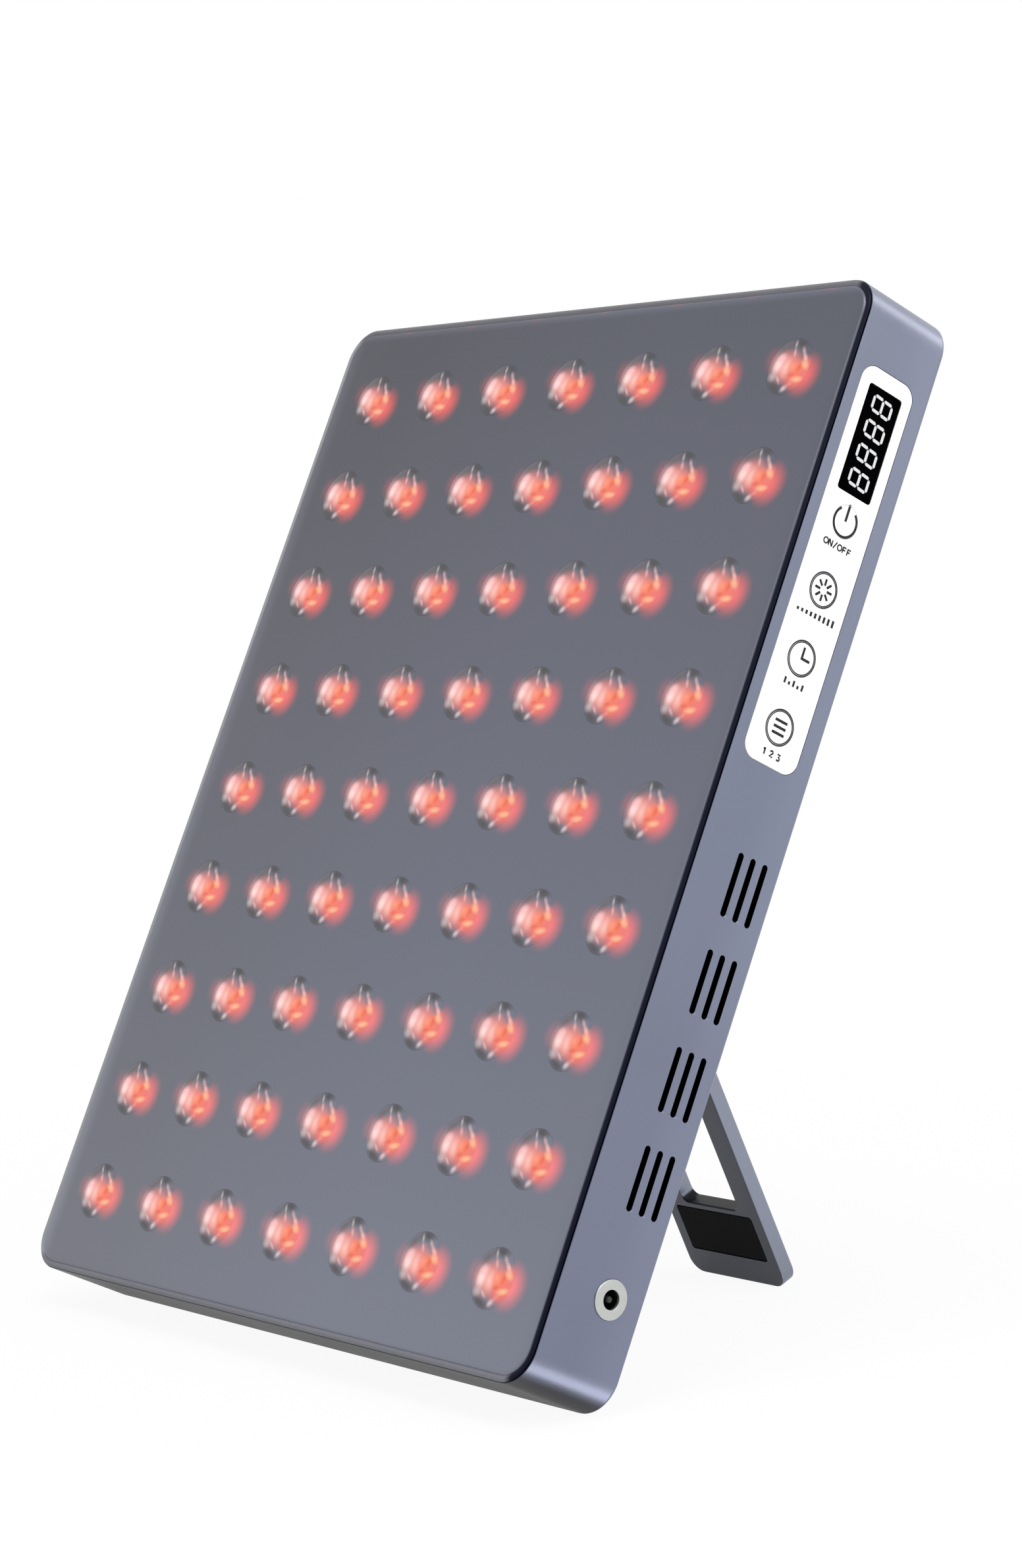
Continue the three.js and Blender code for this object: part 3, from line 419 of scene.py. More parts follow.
ANODISED = {"roughness": 0.36, "vary": 0.03, "grain": 1400.0, "rough_vary": 0.03, "bump": 0.12}

# Wall colours by height, painted light and shade: painted shade on the lower rounded edge, the flat
# wall lighter towards the top, and the upper edge darker again
WALL_TONES = (
    (-153.1, (59, 59, 62)), (-152.7, (63, 63, 66)), (-152.0, (72, 72, 76)), (-150.3, (72, 73, 80)),
    (-148.4, (118, 123, 143)), (-54.0, (120, 125, 144)), (10.0, (126, 132, 151)),
    (138.0, (132, 137, 156)), (151.4, (132, 137, 156)), (153.1, (106, 108, 118)),
)
# The wall's share of the painted line round the plate: a painted shadow at its foot, grey at its
# top
WALL_LINE = {"foot": rgb(48, 48, 52), "top": rgb(124, 124, 130)}
# Depths of that line, and the painted light that grows towards the rear
LINE_DEPTH, REAR_DEPTH, REAR_LIGHT = (0.9, 1.25), (12.0, 29.0), 1.12

# The block of each side wall that holds the vent slots. Its paint turns black below the surface, as
# painted shade inside the slots.
SLOT_SURFACE, SLOT_FRONT, SLOT_REAR = (119.49, 119.45), (3.0, 4.0), (28.0, 27.0)
SLOT_TOP, SLOT_FOOT, SLOT_SHADE = (-2.0, -3.0), (-107.0, -106.0), rgb(1, 1, 3)


def wall_paint():
    """Anodised wall with painted light and shade: lighter towards the top and rear, dark under the
    lower rounded edge, black in the slots.
    """
    made = anodised("anodised wall")
    x, y, z = made.split(made.panel_place())
    tone = made.scaled(made.stops(z, WALL_TONES), made.ramp(y, *REAR_DEPTH, 1.0, REAR_LIGHT))
    tone = made.mix(made.ramp(y, *LINE_DEPTH), made.edge_tone(x, z, **WALL_LINE), tone)
    slots = made.product(
        made.ramp(made.math("ABSOLUTE", x), *SLOT_SURFACE),
        made.ramp(y, *SLOT_FRONT),
        made.ramp(z, *SLOT_TOP),
        made.ramp(z, *SLOT_FOOT),
        made.ramp(y, *SLOT_REAR),
    )
    return made.finish(made.mix(slots, tone, SLOT_SHADE), **ANODISED)


# Painted light and shade of the stand: lit sides and back, a shaded front and shaded faces in its
# opening, darkest on the opening's foot
STAND_SIDES_LIT, STAND_FRONT_SHADE = rgb(141, 146, 162), rgb(88, 91, 97)
STAND_INNER_SHADE, OPENING_FOOT_SHADE = rgb(76, 78, 84), rgb(32, 33, 36)

# How far those faces look to the front, up and left, and their distance from the middle in metres
FACING_FRONT, FACING_UP = (0.3, 0.8), (0.1, 0.5)
FACING_LEFT, INNER_ACROSS = (-0.3, -0.7), (0.0155, 0.0145)


def stand_paint():
    """Anodised stand with painted light and shade: lit sides and back, a shaded front, and shaded
    faces in its opening.
    """
    made = anodised("anodised stand")
    facing = made.node("ShaderNodeTexCoord").outputs["Normal"]
    lean = OPEN - LEAN
    ahead = made.along(facing, (0, -math.cos(lean), -math.sin(lean)))
    top = made.along(facing, (0, -math.sin(lean), math.cos(lean)))
    across = made.math("ABSOLUTE", made.split(made.place())[0])
    left = made.ramp(made.split(facing)[0], *FACING_LEFT)
    inner = made.product(made.ramp(across, *INNER_ACROSS), left)
    tone = made.mix(made.ramp(ahead, *FACING_FRONT), STAND_SIDES_LIT, STAND_FRONT_SHADE)
    tone = made.mix(inner, tone, STAND_INNER_SHADE)
    tone = made.mix(made.ramp(top, *FACING_UP), tone, OPENING_FOOT_SHADE)
    return made.finish(tone, **ANODISED)


# Plate greys by height, a painted reflection lighter towards the foot, and how much lighter its
# left and top edges are as a painted highlight
PLATE_TONES = (
    (-144.0, (124, 127, 141)), (-48.0, (113, 116, 130)), (48.0, (104, 106, 119)),
    (144.0, (93, 95, 106)),
)
PLATE_LEFT, PLATE_TOP, EDGE_LIGHT = (-118.5, -110.5), (148.0, 151.0), 1.45
# Painted shade towards the right edge, and a warmer tint towards the left
PLATE_RIGHT, RIGHT_SHADE = (113.0, 116.5), 0.96
TINT_ACROSS, LEFT_TINT, NO_TINT = (-119.0, 40.0), (0.90, 0.88, 0.83, 1.0), (1.0, 1.0, 1.0, 1.0)
# Tones of the painted reflection and shade line round the plate, on the plate's rounded edge and on
# the seal
PLATE_LINE = {"foot": rgb(150, 151, 162), "top": rgb(120, 121, 128)}
SEAL_LINE = {"foot": rgb(118, 118, 126), "top": rgb(116, 116, 121)}

# Painted red glow on the plate beside each lens, in lens radii: centre, size, turn, core and share
HALOS = (
    ((0.86, -0.24), (1.0, 0.98), 0.0, 0.05, 0.8),
    ((-0.94, 0.2), (0.54, 0.6), 0.0, 0.0, 0.18),
)
HALO_LEFT, HALO_RIGHT, HALO_DEPTH = (-113.4, -112.4), (111.2, 110.2), (0.3, 0.1)
HALO_RED, PLATE_EDGE_DEPTH = rgb(255, 70, 30), (0.02, 0.9)


def plate_tone(made, x, z):
    """The plate's grey with painted reflection and highlight: lighter towards its foot, a painted
    highlight band along its left and top edges, and painted shade near its right edge.
    """
    tone = made.stops(z, PLATE_TONES)
    left = made.ramp(x, *PLATE_LEFT, EDGE_LIGHT, 1.0)
    top = made.ramp(z, *PLATE_TOP, 1.0, EDGE_LIGHT)
    tint = made.mix(made.ramp(x, *TINT_ACROSS), LEFT_TINT, NO_TINT)
    right = made.ramp(x, *PLATE_RIGHT, 1.0, RIGHT_SHADE)
    share = made.product(made.math("MAXIMUM", left, top), right)
    return made.scaled(made.mix(1.0, tone, tint, "MULTIPLY"), share)


def plate_paint():
    """Anodised face with a painted red glow of the lenses' light beside each hole, and the painted
    line on its rounded edge.
    """
    made = Paint("plate face", Metallic=0.8, IOR=1.5)
    x, y, z = made.split(made.panel_place())
    line = made.edge_tone(x, z, **PLATE_LINE)
    # The plate's rounded edge takes the painted reflection and shade of the line round it
    face = made.mix(made.ramp(y, *PLATE_EDGE_DEPTH), plate_tone(made, x, z), line)
    made.finish(face, 0.42, vary=0.02, grain=1500.0, bump=0.06)
    spot = made.lens_place()
    halo, faint = (made.product(made.blob(spot, *place), share) for *place, share in HALOS)
    near = made.product(
        made.ramp(x, *HALO_LEFT), made.ramp(x, *HALO_RIGHT), made.ramp(y, *HALO_DEPTH)
    )
    light = made.product(made.math("ADD", halo, faint), near)
    made.shade(Emission_Color=HALO_RED, Emission_Strength=light)
    return made


# The seal's tones are painted reflection and shade: navy beside the right wall, grey on the other
# sides
def seal_paint():
    made = Paint("seal", Metallic=0.0, IOR=1.5, Specular_IOR_Level=0.1)
    x, _, z = made.split(made.panel_place())
    return made.finish(made.edge_tone(x, z, **SEAL_LINE), 0.45, vary=0.05, grain=700.0)


def plain_paint(name, colour, roughness, metallic=0.0, gloss=0.5, **surface):
    made = Paint(name, Metallic=metallic, Specular_IOR_Level=gloss)
    return made.finish(colour, roughness, **surface)


WALL, STAND_PAINT, PLATE, SEAL = wall_paint(), stand_paint(), plate_paint(), seal_paint()
REAR = anodised("anodised rear").finish(rgb(126, 129, 147), **ANODISED)
WHITE = plain_paint("fascia white", rgb(250, 250, 250), 0.32, vary=0.006, bump=0.015)
PRINT = plain_paint("print grey", rgb(44, 44, 48), 0.5, vary=0.05, gloss=0.1)
GLASS_BLACK = plain_paint("display black", rgb(2, 2, 3), 0.12, vary=0.1, bump=0.0, gloss=0.005)
DIGIT = plain_paint("digit white", rgb(212, 214, 217), 0.4, vary=0.01)
PLASTIC = plain_paint("black plastic", rgb(17, 17, 19), 0.55, gloss=0.25)
# Black that stands in for the shade inside the vents and the jack's seat
DARK = plain_paint("painted inner shade", rgb(2, 2, 4), 0.9, gloss=0.0)
RUBBER = plain_paint("rubber", rgb(17, 17, 18), 0.8, grain=1800.0, vary=0.12, bump=0.4, gloss=0.12)
BOARD = plain_paint("board green", rgb(31, 90, 58), 0.45, vary=0.08)
ALUMINIUM = plain_paint("bare aluminium", rgb(185, 188, 194), 0.38, 1.0)
STEEL = plain_paint("bright steel", rgb(190, 192, 190), 0.42, 1.0, grain=600.0)
CONTACT = plain_paint("contact grey", rgb(66, 66, 67), 0.5, 0.5, grain=600.0, gloss=0.1)
SLEEVE = plain_paint("capacitor sleeve", rgb(35, 48, 74), 0.4)
RED_LEAD = plain_paint("lead red", rgb(160, 40, 32), 0.5)

# Painted light on a lens's inner wall: from its rim to its floor, all round deep down, else at its
# sides
CUP_REACH, CUP_DEEP, DEEP_SHARE, CUP_SIDES = (1.0, 0.36), (0.75, 0.4), 0.9, (0.45, 0.95)
CUP_TONES = (
    (0.0, (120, 95, 95)), (0.1, (205, 150, 148)), (0.28, (255, 222, 216)),
    (0.52, (255, 190, 168)), (0.74, (255, 132, 96)), (1.0, (244, 92, 62)),
)


def cup_paint():
    """The lens's inner wall, glowing with painted light: pink and white at its sides, grey towards
    top and bottom.
    """
    made = Paint("lens wall", Metallic=0.2, Roughness=0.25)
    spot = made.lens_place()
    length = made.length(spot)
    side = made.math("DIVIDE", made.math("ABSOLUTE", made.split(spot)[0]), length)
    deep = made.product(made.ramp(length, *CUP_DEEP), DEEP_SHARE)
    strength = made.math("MAXIMUM", made.ramp(side, *CUP_SIDES), deep)
    grey = made.ramp(made.noise(700.0), 0.35, 0.65)
    base = made.mix(grey, rgb(64, 62, 64), rgb(96, 94, 96))
    made.shade(
        Base_Color=made.mix(strength, base, rgb(20, 6, 5)),
        Emission_Color=made.stops(made.ramp(length, *CUP_REACH), CUP_TONES),
        Emission_Strength=strength,
    )
    return made


def chip_paint():
    made = Paint("lit chip", Roughness=0.3)
    glow = made.blob(made.lens_place(), (0.0, 0.0), (0.42, 0.42), core=0.1)
    made.shade(
        Base_Color=made.mix(made.noise(900.0), rgb(30, 8, 5), rgb(44, 12, 6)),
        Emission_Color=made.mix(glow, rgb(242, 84, 58), rgb(255, 196, 122)),
        Emission_Strength=1.0,
    )
    return made


# Painted light, reflections and shade in a lens, in lens radii: centre, size, turn, core, share and
# colour
LENS_SHADE_PARTS = (
    ((0.16, 0.88), (0.62, 0.3), -8, 0.1, 0.85, (76, 74, 76)),
    ((-0.44, 0.66), (0.56, 0.34), 34, 0.0, 0.8, (104, 94, 96)),
    ((-0.38, -0.78), (0.7, 0.26), -26, 0.1, 0.85, (84, 82, 84)),
)
LENS_LIGHT_PARTS = (
    ((-0.84, 0.22), (0.34, 0.5), -8, 0.0, 0.7, (170, 124, 130)),
    ((0.0, -0.04), (1.14, 0.76), -4, 0.26, 0.95, (236, 141, 134)),
    ((0.64, -0.36), (0.8, 0.66), 0, 0.28, 0.96, (240, 122, 112)),
    ((0.9, 0.02), (0.4, 0.56), 0, 0.2, 0.9, (240, 128, 124)),
    ((-0.47, 0.0), (0.38, 0.47), -12, 0.12, 1.0, (255, 219, 216)),
    ((-0.4, 0.24), (0.38, 0.28), 0, 0.0, 0.9, (252, 196, 196)),
    ((0.0, -0.1), (0.38, 0.5), 0, 0.0, 0.92, (254, 196, 184)),
    ((0.45, -0.1), (0.46, 0.46), 0, 0.22, 0.9, (250, 134, 108)),
    ((0.32, -0.02), (0.22, 0.24), 0, 0.0, 0.75, (255, 160, 130)),
    ((0.62, -0.02), (0.14, 0.34), -16, 0.0, 0.85, (232, 108, 76)),
    ((0.34, -0.32), (0.26, 0.12), 12, 0.0, 0.8, (226, 106, 84)),
    ((0.8, 0.1), (0.3, 0.18), -42, 0.1, 0.95, (255, 188, 146)),
    ((0.66, -0.44), (0.38, 0.16), 10, 0.1, 0.95, (255, 190, 150)),
    ((-0.01, 0.78), (0.26, 0.09), -66, 0.0, 0.9, (190, 182, 184)),
    ((0.14, 0.46), (0.28, 0.11), -64, 0.0, 0.9, (236, 178, 176)),
    ((0.5, 0.58), (0.28, 0.1), -52, 0.0, 0.88, (208, 176, 178)),
    ((0.7, 0.34), (0.32, 0.12), -52, 0.0, 0.95, (255, 190, 180)),
    ((0.18, -0.8), (0.26, 0.14), 34, 0.0, 0.9, (226, 204, 204)),
    ((0.42, -0.62), (0.22, 0.12), 34, 0.0, 0.8, (246, 150, 144)),
    ((-0.58, -0.42), (0.36, 0.26), 4, 0.0, 0.85, (196, 180, 180)),
    ((-0.22, -0.52), (0.28, 0.1), -46, 0.0, 0.85, (226, 184, 184)),
)


def dome_paint():
    """Clear lens over its lit chips, with painted light and reflections: glowing blobs of light,
    painted highlight streaks and dark rim arcs of painted shade.
    """
    made = Paint("clear lens", Roughness=0.12, IOR=1.49, Specular_IOR_Level=0.15, Alpha=0.94)
    x, _, z = made.split(made.panel_place())
    spot = made.lens_place()
    # The lens's grey takes the plate's painted reflection and highlight
    grey, lit, cover = plate_tone(made, x, z), rgb(0, 0, 0), 0.0
    for *place, share, colour in LENS_SHADE_PARTS:
        part = made.product(made.blob(spot, *place), share)
        grey = made.mix(part, grey, rgb(*colour))
    for *place, share, colour in LENS_LIGHT_PARTS:
        part = made.product(made.blob(spot, *place), share)
        lit = made.mix(part, lit, rgb(*colour))
        clear = made.math("SUBTRACT", 1.0, cover)
        clear = made.product(clear, made.math("SUBTRACT", 1.0, part))
        cover = made.math("SUBTRACT", 1.0, clear)
    made.shade(
        Base_Color=made.mix(cover, grey, rgb(8, 4, 4)), Emission_Color=lit, Emission_Strength=1.0
    )
    return made


CUP, CHIP, DOME = cup_paint(), chip_paint(), dome_paint()


# ---- housing
HOLE, HOLE_STEPS, PLATE_ROUND = 8.31, 40, 1.2
HOLE_LEVELS = ((8.33, 0.0), (HOLE, 0.03), (HOLE, PLATE_THICK))

# Sections round the housing: (drawn in from the outline, place from front to back)
SEAL_SECTION = (
    (1.95, 0.52), (1.42, 0.26), (1.15, 0.16), (0.9, 0.15), (0.6, 0.3), (0.36, 0.48), (0.24, 0.6),
    (1.95, 0.6),
)
FRONT_SECTION = ((1.4, 2.8), (1.4, 1.0), (0.5, 0.92), (0.3, 0.92), (0.08, 1.0), (0.0, 1.25))
INNER_SECTION = (
    (2.6, DEPTH), (2.6, 28.2), (6.1, 28.2), (6.1, 26.4), (2.6, 26.4), (2.6, 4.6), (6.1, 4.6),
    (6.1, 2.8),
)
REAR_ROUND = 1.6

# Wells in the side walls: depth, softened edge and outline
VENT_GROUPS, SLOT_DEEP, SLOT_EDGE, SLOT_END = 4, 2.5, 0.12, 0.94
RECESS_DEEP, RECESS_EDGE, RECESS_GAP, RECESS_CORNER = 1.3, 0.06, 0.24, 4.62
SEAT_DEEP, SEAT_RADIUS, SEAT_BORE, SEAT_STEPS = 0.9, 5.34, 4.5, 40


def front_plate():
    made = Shell()
    rings = [frame_ring(PLATE_INSET + e, b) for e, b in quarter(PLATE_ROUND, steps=6)]
    loops = made.strips([*rings, frame_ring(PLATE_INSET, PLATE_THICK)])
    fronts, backs = [], []
    for middle in LENSES:
        ends = made.strips(
            [(p, y, q) for p, q in circle(radius, HOLE_STEPS, middle)] for radius, y in HOLE_LEVELS
        )
        fronts.append(ends[0])
        backs.append(ends[-1])
    made.cap(loops[0], fronts)
    made.cap(loops[-1], backs)
    return made


def seal_ring():
    made = Shell()
    loops = made.strips(frame_ring(inset, y) for inset, y in SEAL_SECTION)
    made.bridge(loops[-1], loops[0])
    return made


def housing_wall():
    """The band, with the side walls cut for vents and the right one for fascia and jack."""
    made = Shell()
    front = made.strips(frame_ring(inset, y) for inset, y in FRONT_SECTION)
    rear = [(e, DEPTH - b) for e, b in quarter(REAR_ROUND, steps=5, start=90, end=0)]
    back = made.strips(frame_ring(inset, y) for inset, y in (*rear, *INNER_SECTION))
    made.bridge(back[-1], front[0])
    outer, rim = front[-1], back[0]
    count, per = len(outer), CORNER_STEPS + 1
    sides = {2 * per - 1: LEFT, 4 * per - 1: RIGHT}
    for i in range(count):
        j = (i + 1) % count
        corners = (outer[i], outer[j], rim[j], rim[i])
        if i in sides:
            wall_openings(made, sides[i], corners)
        else:
            made.face(corners)
    return made


def wall_openings(made, side, corners):
    """A flat side wall's outer face with its slots, recess and jack seat, each a blind well."""
    loops = []
    slot = rounded(SLOT_WIDE, SLOT_LONG, SLOT_END, steps=6)
    for group in range(VENT_GROUPS):
        for row in (-1, 0, 1):
            centre = (VENT_Y + row * SLOT_STEP, VENT_Z - group * VENT_STEP)
            loops.append(well(made, side, slot, centre, SLOT_DEEP, SLOT_EDGE))
    if side == RIGHT:
        size = FASCIA_WIDE + RECESS_GAP, FASCIA_LONG + RECESS_GAP
        recess, middle = rounded(*size, RECESS_CORNER, steps=8), (FASCIA_Y, FASCIA_Z)
        loops.append(well(made, side, recess, middle, RECESS_DEEP, RECESS_EDGE))
        seat = circle(SEAT_RADIUS, SEAT_STEPS)
        loops.append(well(made, side, seat, JACK, SEAT_DEEP, RECESS_EDGE, SEAT_BORE))
    made.cap(list(corners), loops, (1, 2))


def well(made, side, outline, centre, deep, edge, bore=0.0):
    """A recess in a side wall with a softened edge and a floor; returns its loop on the wall.

    The floor of a slot and the bore of the jack's seat take the second paint, black as painted
    shade.
    """
    def ring(points, x, grow=0.0):
        placed = []
        for u, v in points:
            share = 1 + grow / (math.hypot(u, v) or 1.0)
            placed.append((side * x, centre[0] + u * share, centre[1] + v * share))
        return placed

    half_round = 0.3 * edge
    levels = ((edge, 0.0), (half_round, half_round), (0.0, edge), (0.0, deep))
    loops = made.strips(ring(outline, FACE - down, grow) for grow, down in levels)
    floor_loop = loops[-1]
    made.mark = 1 if deep == SLOT_DEEP or bore else 0
    if bore:
        inner = circle(bore, len(outline))
        ends = made.strips(ring(inner, FACE - down) for down in (deep, SLOT_DEEP))
        made.bridge(floor_loop, ends[0])
        floor_loop = ends[1]
    made.cap(floor_loop)
    made.mark = 0
    return loops[0]


piece("housing_wall", housing_wall(), [WALL, DARK], ["side_frame"])
piece("plate_face", front_plate(), [PLATE], ["front_plate"])
piece("seal_ring", seal_ring(), [SEAL], ["seal_gasket"])


# ---- lenses
DOME_RADIUS, DOME_RISE, DOME_RIM, DOME_STEPS = 8.3, 0.92, 0.02, 8
BOARD_X, BOARD_Z, BOARD_FRONT, BOARD_BACK = 106.8, 138.8, 7.5, 9.1

# Profiles about a lens's axis: (radius, place from front to back)
DOME_PROFILE = [
    (DOME_RADIUS * step / DOME_STEPS, DOME_RIM - DOME_RISE * (1 - (step / DOME_STEPS) ** 2))
    for step in range(DOME_STEPS + 1)
]
DOME_PROFILE += [(8.25, 0.5), (0.0, 0.3)]
CUP_PROFILE = (
    (8.15, 0.75), (7.7, 0.75), (6.6, 2.1), (5.1, 3.8), (3.6, 5.4), (2.9, 6.1), (2.9, 6.7),
    (8.15, 6.7), (8.15, 0.75),
)
CHIP_PROFILE = ((0.0, 5.15), (1.2, 5.25), (2.2, 5.55), (2.9, 6.0), (2.9, 6.55), (0.0, 6.55))


def repeated(part):
    made = Shell()
    for x, z in LENSES:
        made.add(part, (x, 0, z))
    return made


def board_sheet():
    made = Shell()
    outline = [(SHIFT + x * BOARD_X, z * BOARD_Z) for x, z in CORNERS]
    made.block([(x, y, z) for x, z in outline] for y in (BOARD_FRONT, BOARD_BACK))
    return made


for name, profile, steps, paint in (
    ("lens_domes", DOME_PROFILE, 32, DOME),
    ("lens_walls", CUP_PROFILE, 32, CUP),
    ("lit_chips", CHIP_PROFILE, 24, CHIP),
):
    piece(name, repeated(turned(profile, steps)), [paint], ["led_board"], sharp=60)
piece("light_board", board_sheet(), [BOARD], ["led_board"])


# ---- control fascia
FASCIA_CORNER, FASCIA_ROUND, FASCIA_THICK = 4.5, 0.25, 1.0
KEY_HOLE, KEY_RADIUS, STEM_RADIUS, KEY_STEPS = 4.66, 4.56, 1.8, 40
WINDOW_CORNER, PANE_GAP, PANE_CORNER, PANE_ROUND = 0.9, 0.3, 0.8, 0.12
PRINT_LOW, PRINT_TOP, STROKE, POWER_STROKE = FACE + 0.005, FACE + 0.045, 0.75, 0.82


def softened(size, corner, edge, middle, steps, edge_steps):
    """The loops of a plate in the right wall with a rounded front edge, from front to back."""
    rings = []
    for e, b in quarter(edge, edge_steps):
        outline = rounded(size[0] - 2 * e, size[1] - 2 * e, corner - e, steps)
        rings.append([(FACE - b, middle[0] + u, middle[1] + v) for u, v in outline])
    rings.append([(FACE - FASCIA_THICK, y, z) for _, y, z in rings[-1]])
    return rings


def fascia_plate():
    made = Shell()
    size, middle = (FASCIA_WIDE, FASCIA_LONG), (FASCIA_Y, FASCIA_Z)
    rings = softened(size, FASCIA_CORNER, FASCIA_ROUND, middle, steps=12, edge_steps=3)
    loops = made.strips(rings)
    fronts, backs = [], []
    shapes = [(rounded(DISPLAY_WIDE, DISPLAY_LONG, WINDOW_CORNER, steps=5), DISPLAY_Z)]
    shapes += [(circle(KEY_HOLE, KEY_STEPS), z) for z in KEYS.values()]
    for outline, z in shapes:
        ends = made.strips(
            [(x, FASCIA_Y + u, z + v) for u, v in outline] for x in (FACE, FACE - FASCIA_THICK)
        )
        fronts.append(ends[0])
        backs.append(ends[1])
    made.cap(loops[0], fronts, (1, 2))
    made.cap(loops[-1], backs, (1, 2))
    return made


def line(made, points, width, z, across=0.0, closed=False):
    """A printed line of even width and slight thickness on the fascia, about (across, z)."""
    count = len(points)
    left, right = [], []
    for i, (u, v) in enumerate(points):
        before = points[(i - 1) % count] if closed or i else points[0]
        after = points[(i + 1) % count] if closed or i < count - 1 else points[-1]
        along = Vector((after[0] - before[0], after[1] - before[1])).normalized()
        side = Vector((-along.y, along.x)) * width / 2
        left.append((u + side.x, v + side.y))
        right.append((u - side.x, v - side.y))
    rows = [
        made.loop([(x, FASCIA_Y + across + u, z + v) for u, v in edge])
        for edge, x in (
            (left, PRINT_LOW), (left, PRINT_TOP), (right, PRINT_TOP), (right, PRINT_LOW)
        )
    ]
    for a, b in zip(rows, rows[1:] + rows[:1]):
        for i in range(count if closed else count - 1):
            j = (i + 1) % count
            made.face((a[i], a[j], b[j], b[i]))
    if not closed:
        made.face((rows[0][0], rows[1][0], rows[2][0], rows[3][0]))
        made.face((rows[0][-1], rows[3][-1], rows[2][-1], rows[1][-1]))


# Signs on the keys: lines of points about the key's middle, and their strokes
SIGNS = {
    "power": [(arc(4.06, 130, 410, 40), STROKE), ([(0.0, 4.5), (0.0, 0.15)], POWER_STROKE)],
    "brightness": [
        ([polar(reach, math.radians(45 * i)) for reach in (1.25, 3.1)], 0.7) for i in range(8)
    ],
    "time": [([(0.0, 3.1), (0.0, -0.35)], STROKE), ([(STROKE / 2, 0.0), (2.9, 0.0)], STROKE)],
    "mode": [([(-2.2, rise), (2.2, rise)], STROKE) for rise in (-1.7, 0.0, 1.7)],
}
KEY_BACK, STEM_END, KEY_BREAK = 118.5, 113.1, 0.06
KEY_PROFILE = (
    (0.0, STEM_END), (STEM_RADIUS, STEM_END), (STEM_RADIUS, KEY_BACK), (KEY_RADIUS, KEY_BACK),
    (KEY_RADIUS, FACE - KEY_BREAK), (KEY_RADIUS - KEY_BREAK, FACE), (0.0, FACE),
)

# The ring round a sign: one line on the key and one on the fascia, beside the key's gap
KEY_RING, KEY_RING_STROKE = circle(4.34, KEY_STEPS), 0.3
FASCIA_RING, FASCIA_RING_STROKE = circle(4.8, KEY_STEPS), 0.34

fascia_marks = Shell()
for name, z in KEYS.items():
    body = f"{name}_button"
    key = turned(KEY_PROFILE, KEY_STEPS, "X", (FASCIA_Y, z))
    piece(f"{name}_face", key, [WHITE], [f"{name}_key"], body)
    marks = Shell()
    for points, width in SIGNS[name]:
        line(marks, points, width, z)
    if name == "power":
        line(fascia_marks, [(0.0, 4.95), (0.0, 4.68)], POWER_STROKE, z)
    else:
        line(marks, KEY_RING, KEY_RING_STROKE, z, closed=True)
        line(fascia_marks, FASCIA_RING, FASCIA_RING_STROKE, z, closed=True)
    piece(f"{name}_mark", marks, [PRINT], body=body, sharp=60)


# Letters and figures, each as lines of points
GLYPHS = {
    "O": [circle(0.78, 24)],
    "N": [[(-0.6, -0.9), (-0.6, 0.9)], [(-0.6, 0.9), (0.6, -0.9)], [(0.6, -0.9), (0.6, 0.9)]],
    "F": [[(-0.5, -0.9), (-0.5, 0.9)], [(-0.5, 0.75), (0.6, 0.75)], [(-0.5, 0.0), (0.4, 0.0)]],
    "/": [[(-0.5, -1.0), (0.5, 1.0)]],
    "1": [[(0.1, -0.9), (0.1, 0.9)], [(0.1, 0.8), (-0.4, 0.4)]],
    "2": [[(-0.55, 0.5), (-0.3, 0.8), (0.3, 0.8), (0.55, 0.4), (-0.55, -0.75), (0.6, -0.75)]],
    "3": [[
        (-0.5, 0.75), (0.5, 0.75), (0.0, 0.1), (0.5, -0.2), (0.5, -0.6), (0.2, -0.85),
        (-0.5, -0.75),
    ]],
}


def words():
    """Generic marks in place of words: ON/OFF, a rising scale, a row of ticks and 1 2 3.

    A row gives its key, its distance below it, its pitch, its stroke and its signs.
    """
    made = Shell()
    ticks = [[[(0.0, -1.0), (0.0, -0.2 + 0.15 * i)]] for i in range(9)]
    steps = [[[(0.0, -0.8), (0.0, 0.9 if i % 2 == 0 else 0.1)]] for i in range(5)]
    rows = (
        ("power", 7.0, 1.74, 0.4, [GLYPHS[letter] for letter in "ON/OFF"]),
        ("brightness", 7.1, 1.62, 0.76, ticks),
        ("time", 7.2, 1.6, 0.7, steps),
        ("mode", 7.4, 2.6, 0.5, [GLYPHS[figure] for figure in "123"]),
    )
    for key, drop, pitch, stroke, signs in rows:
        for index, lines in enumerate(signs):
            across = (index - (len(signs) - 1) / 2) * pitch
            for points in lines:
                line(made, points, stroke, KEYS[key] - drop, across, points in GLYPHS["O"])
    return made


fascia_marks.add(words())
piece("fascia_face", fascia_plate(), [WHITE], ["control_fascia"])
piece("fascia_marks", fascia_marks, [PRINT], sharp=60)


def display_pane():
    made = Shell()
    size, middle = (DISPLAY_WIDE - PANE_GAP, DISPLAY_LONG - PANE_GAP), (FASCIA_Y, DISPLAY_Z)
    made.block(softened(size, PANE_CORNER, PANE_ROUND, middle, steps=5, edge_steps=2))
    return made


# A seven-segment figure: half widths of a bar and the figure, half its height, the bars' end gap
BAR_HALF, FIGURE_HALF, FIGURE_TALL, BAR_GAP = 0.42, 2.0, 3.4, 0.2
FIGURES, FIGURE_PITCH, FIGURE_SLANT, FIGURE_SHIFT = 4, 7.0, 0.08, 0.1


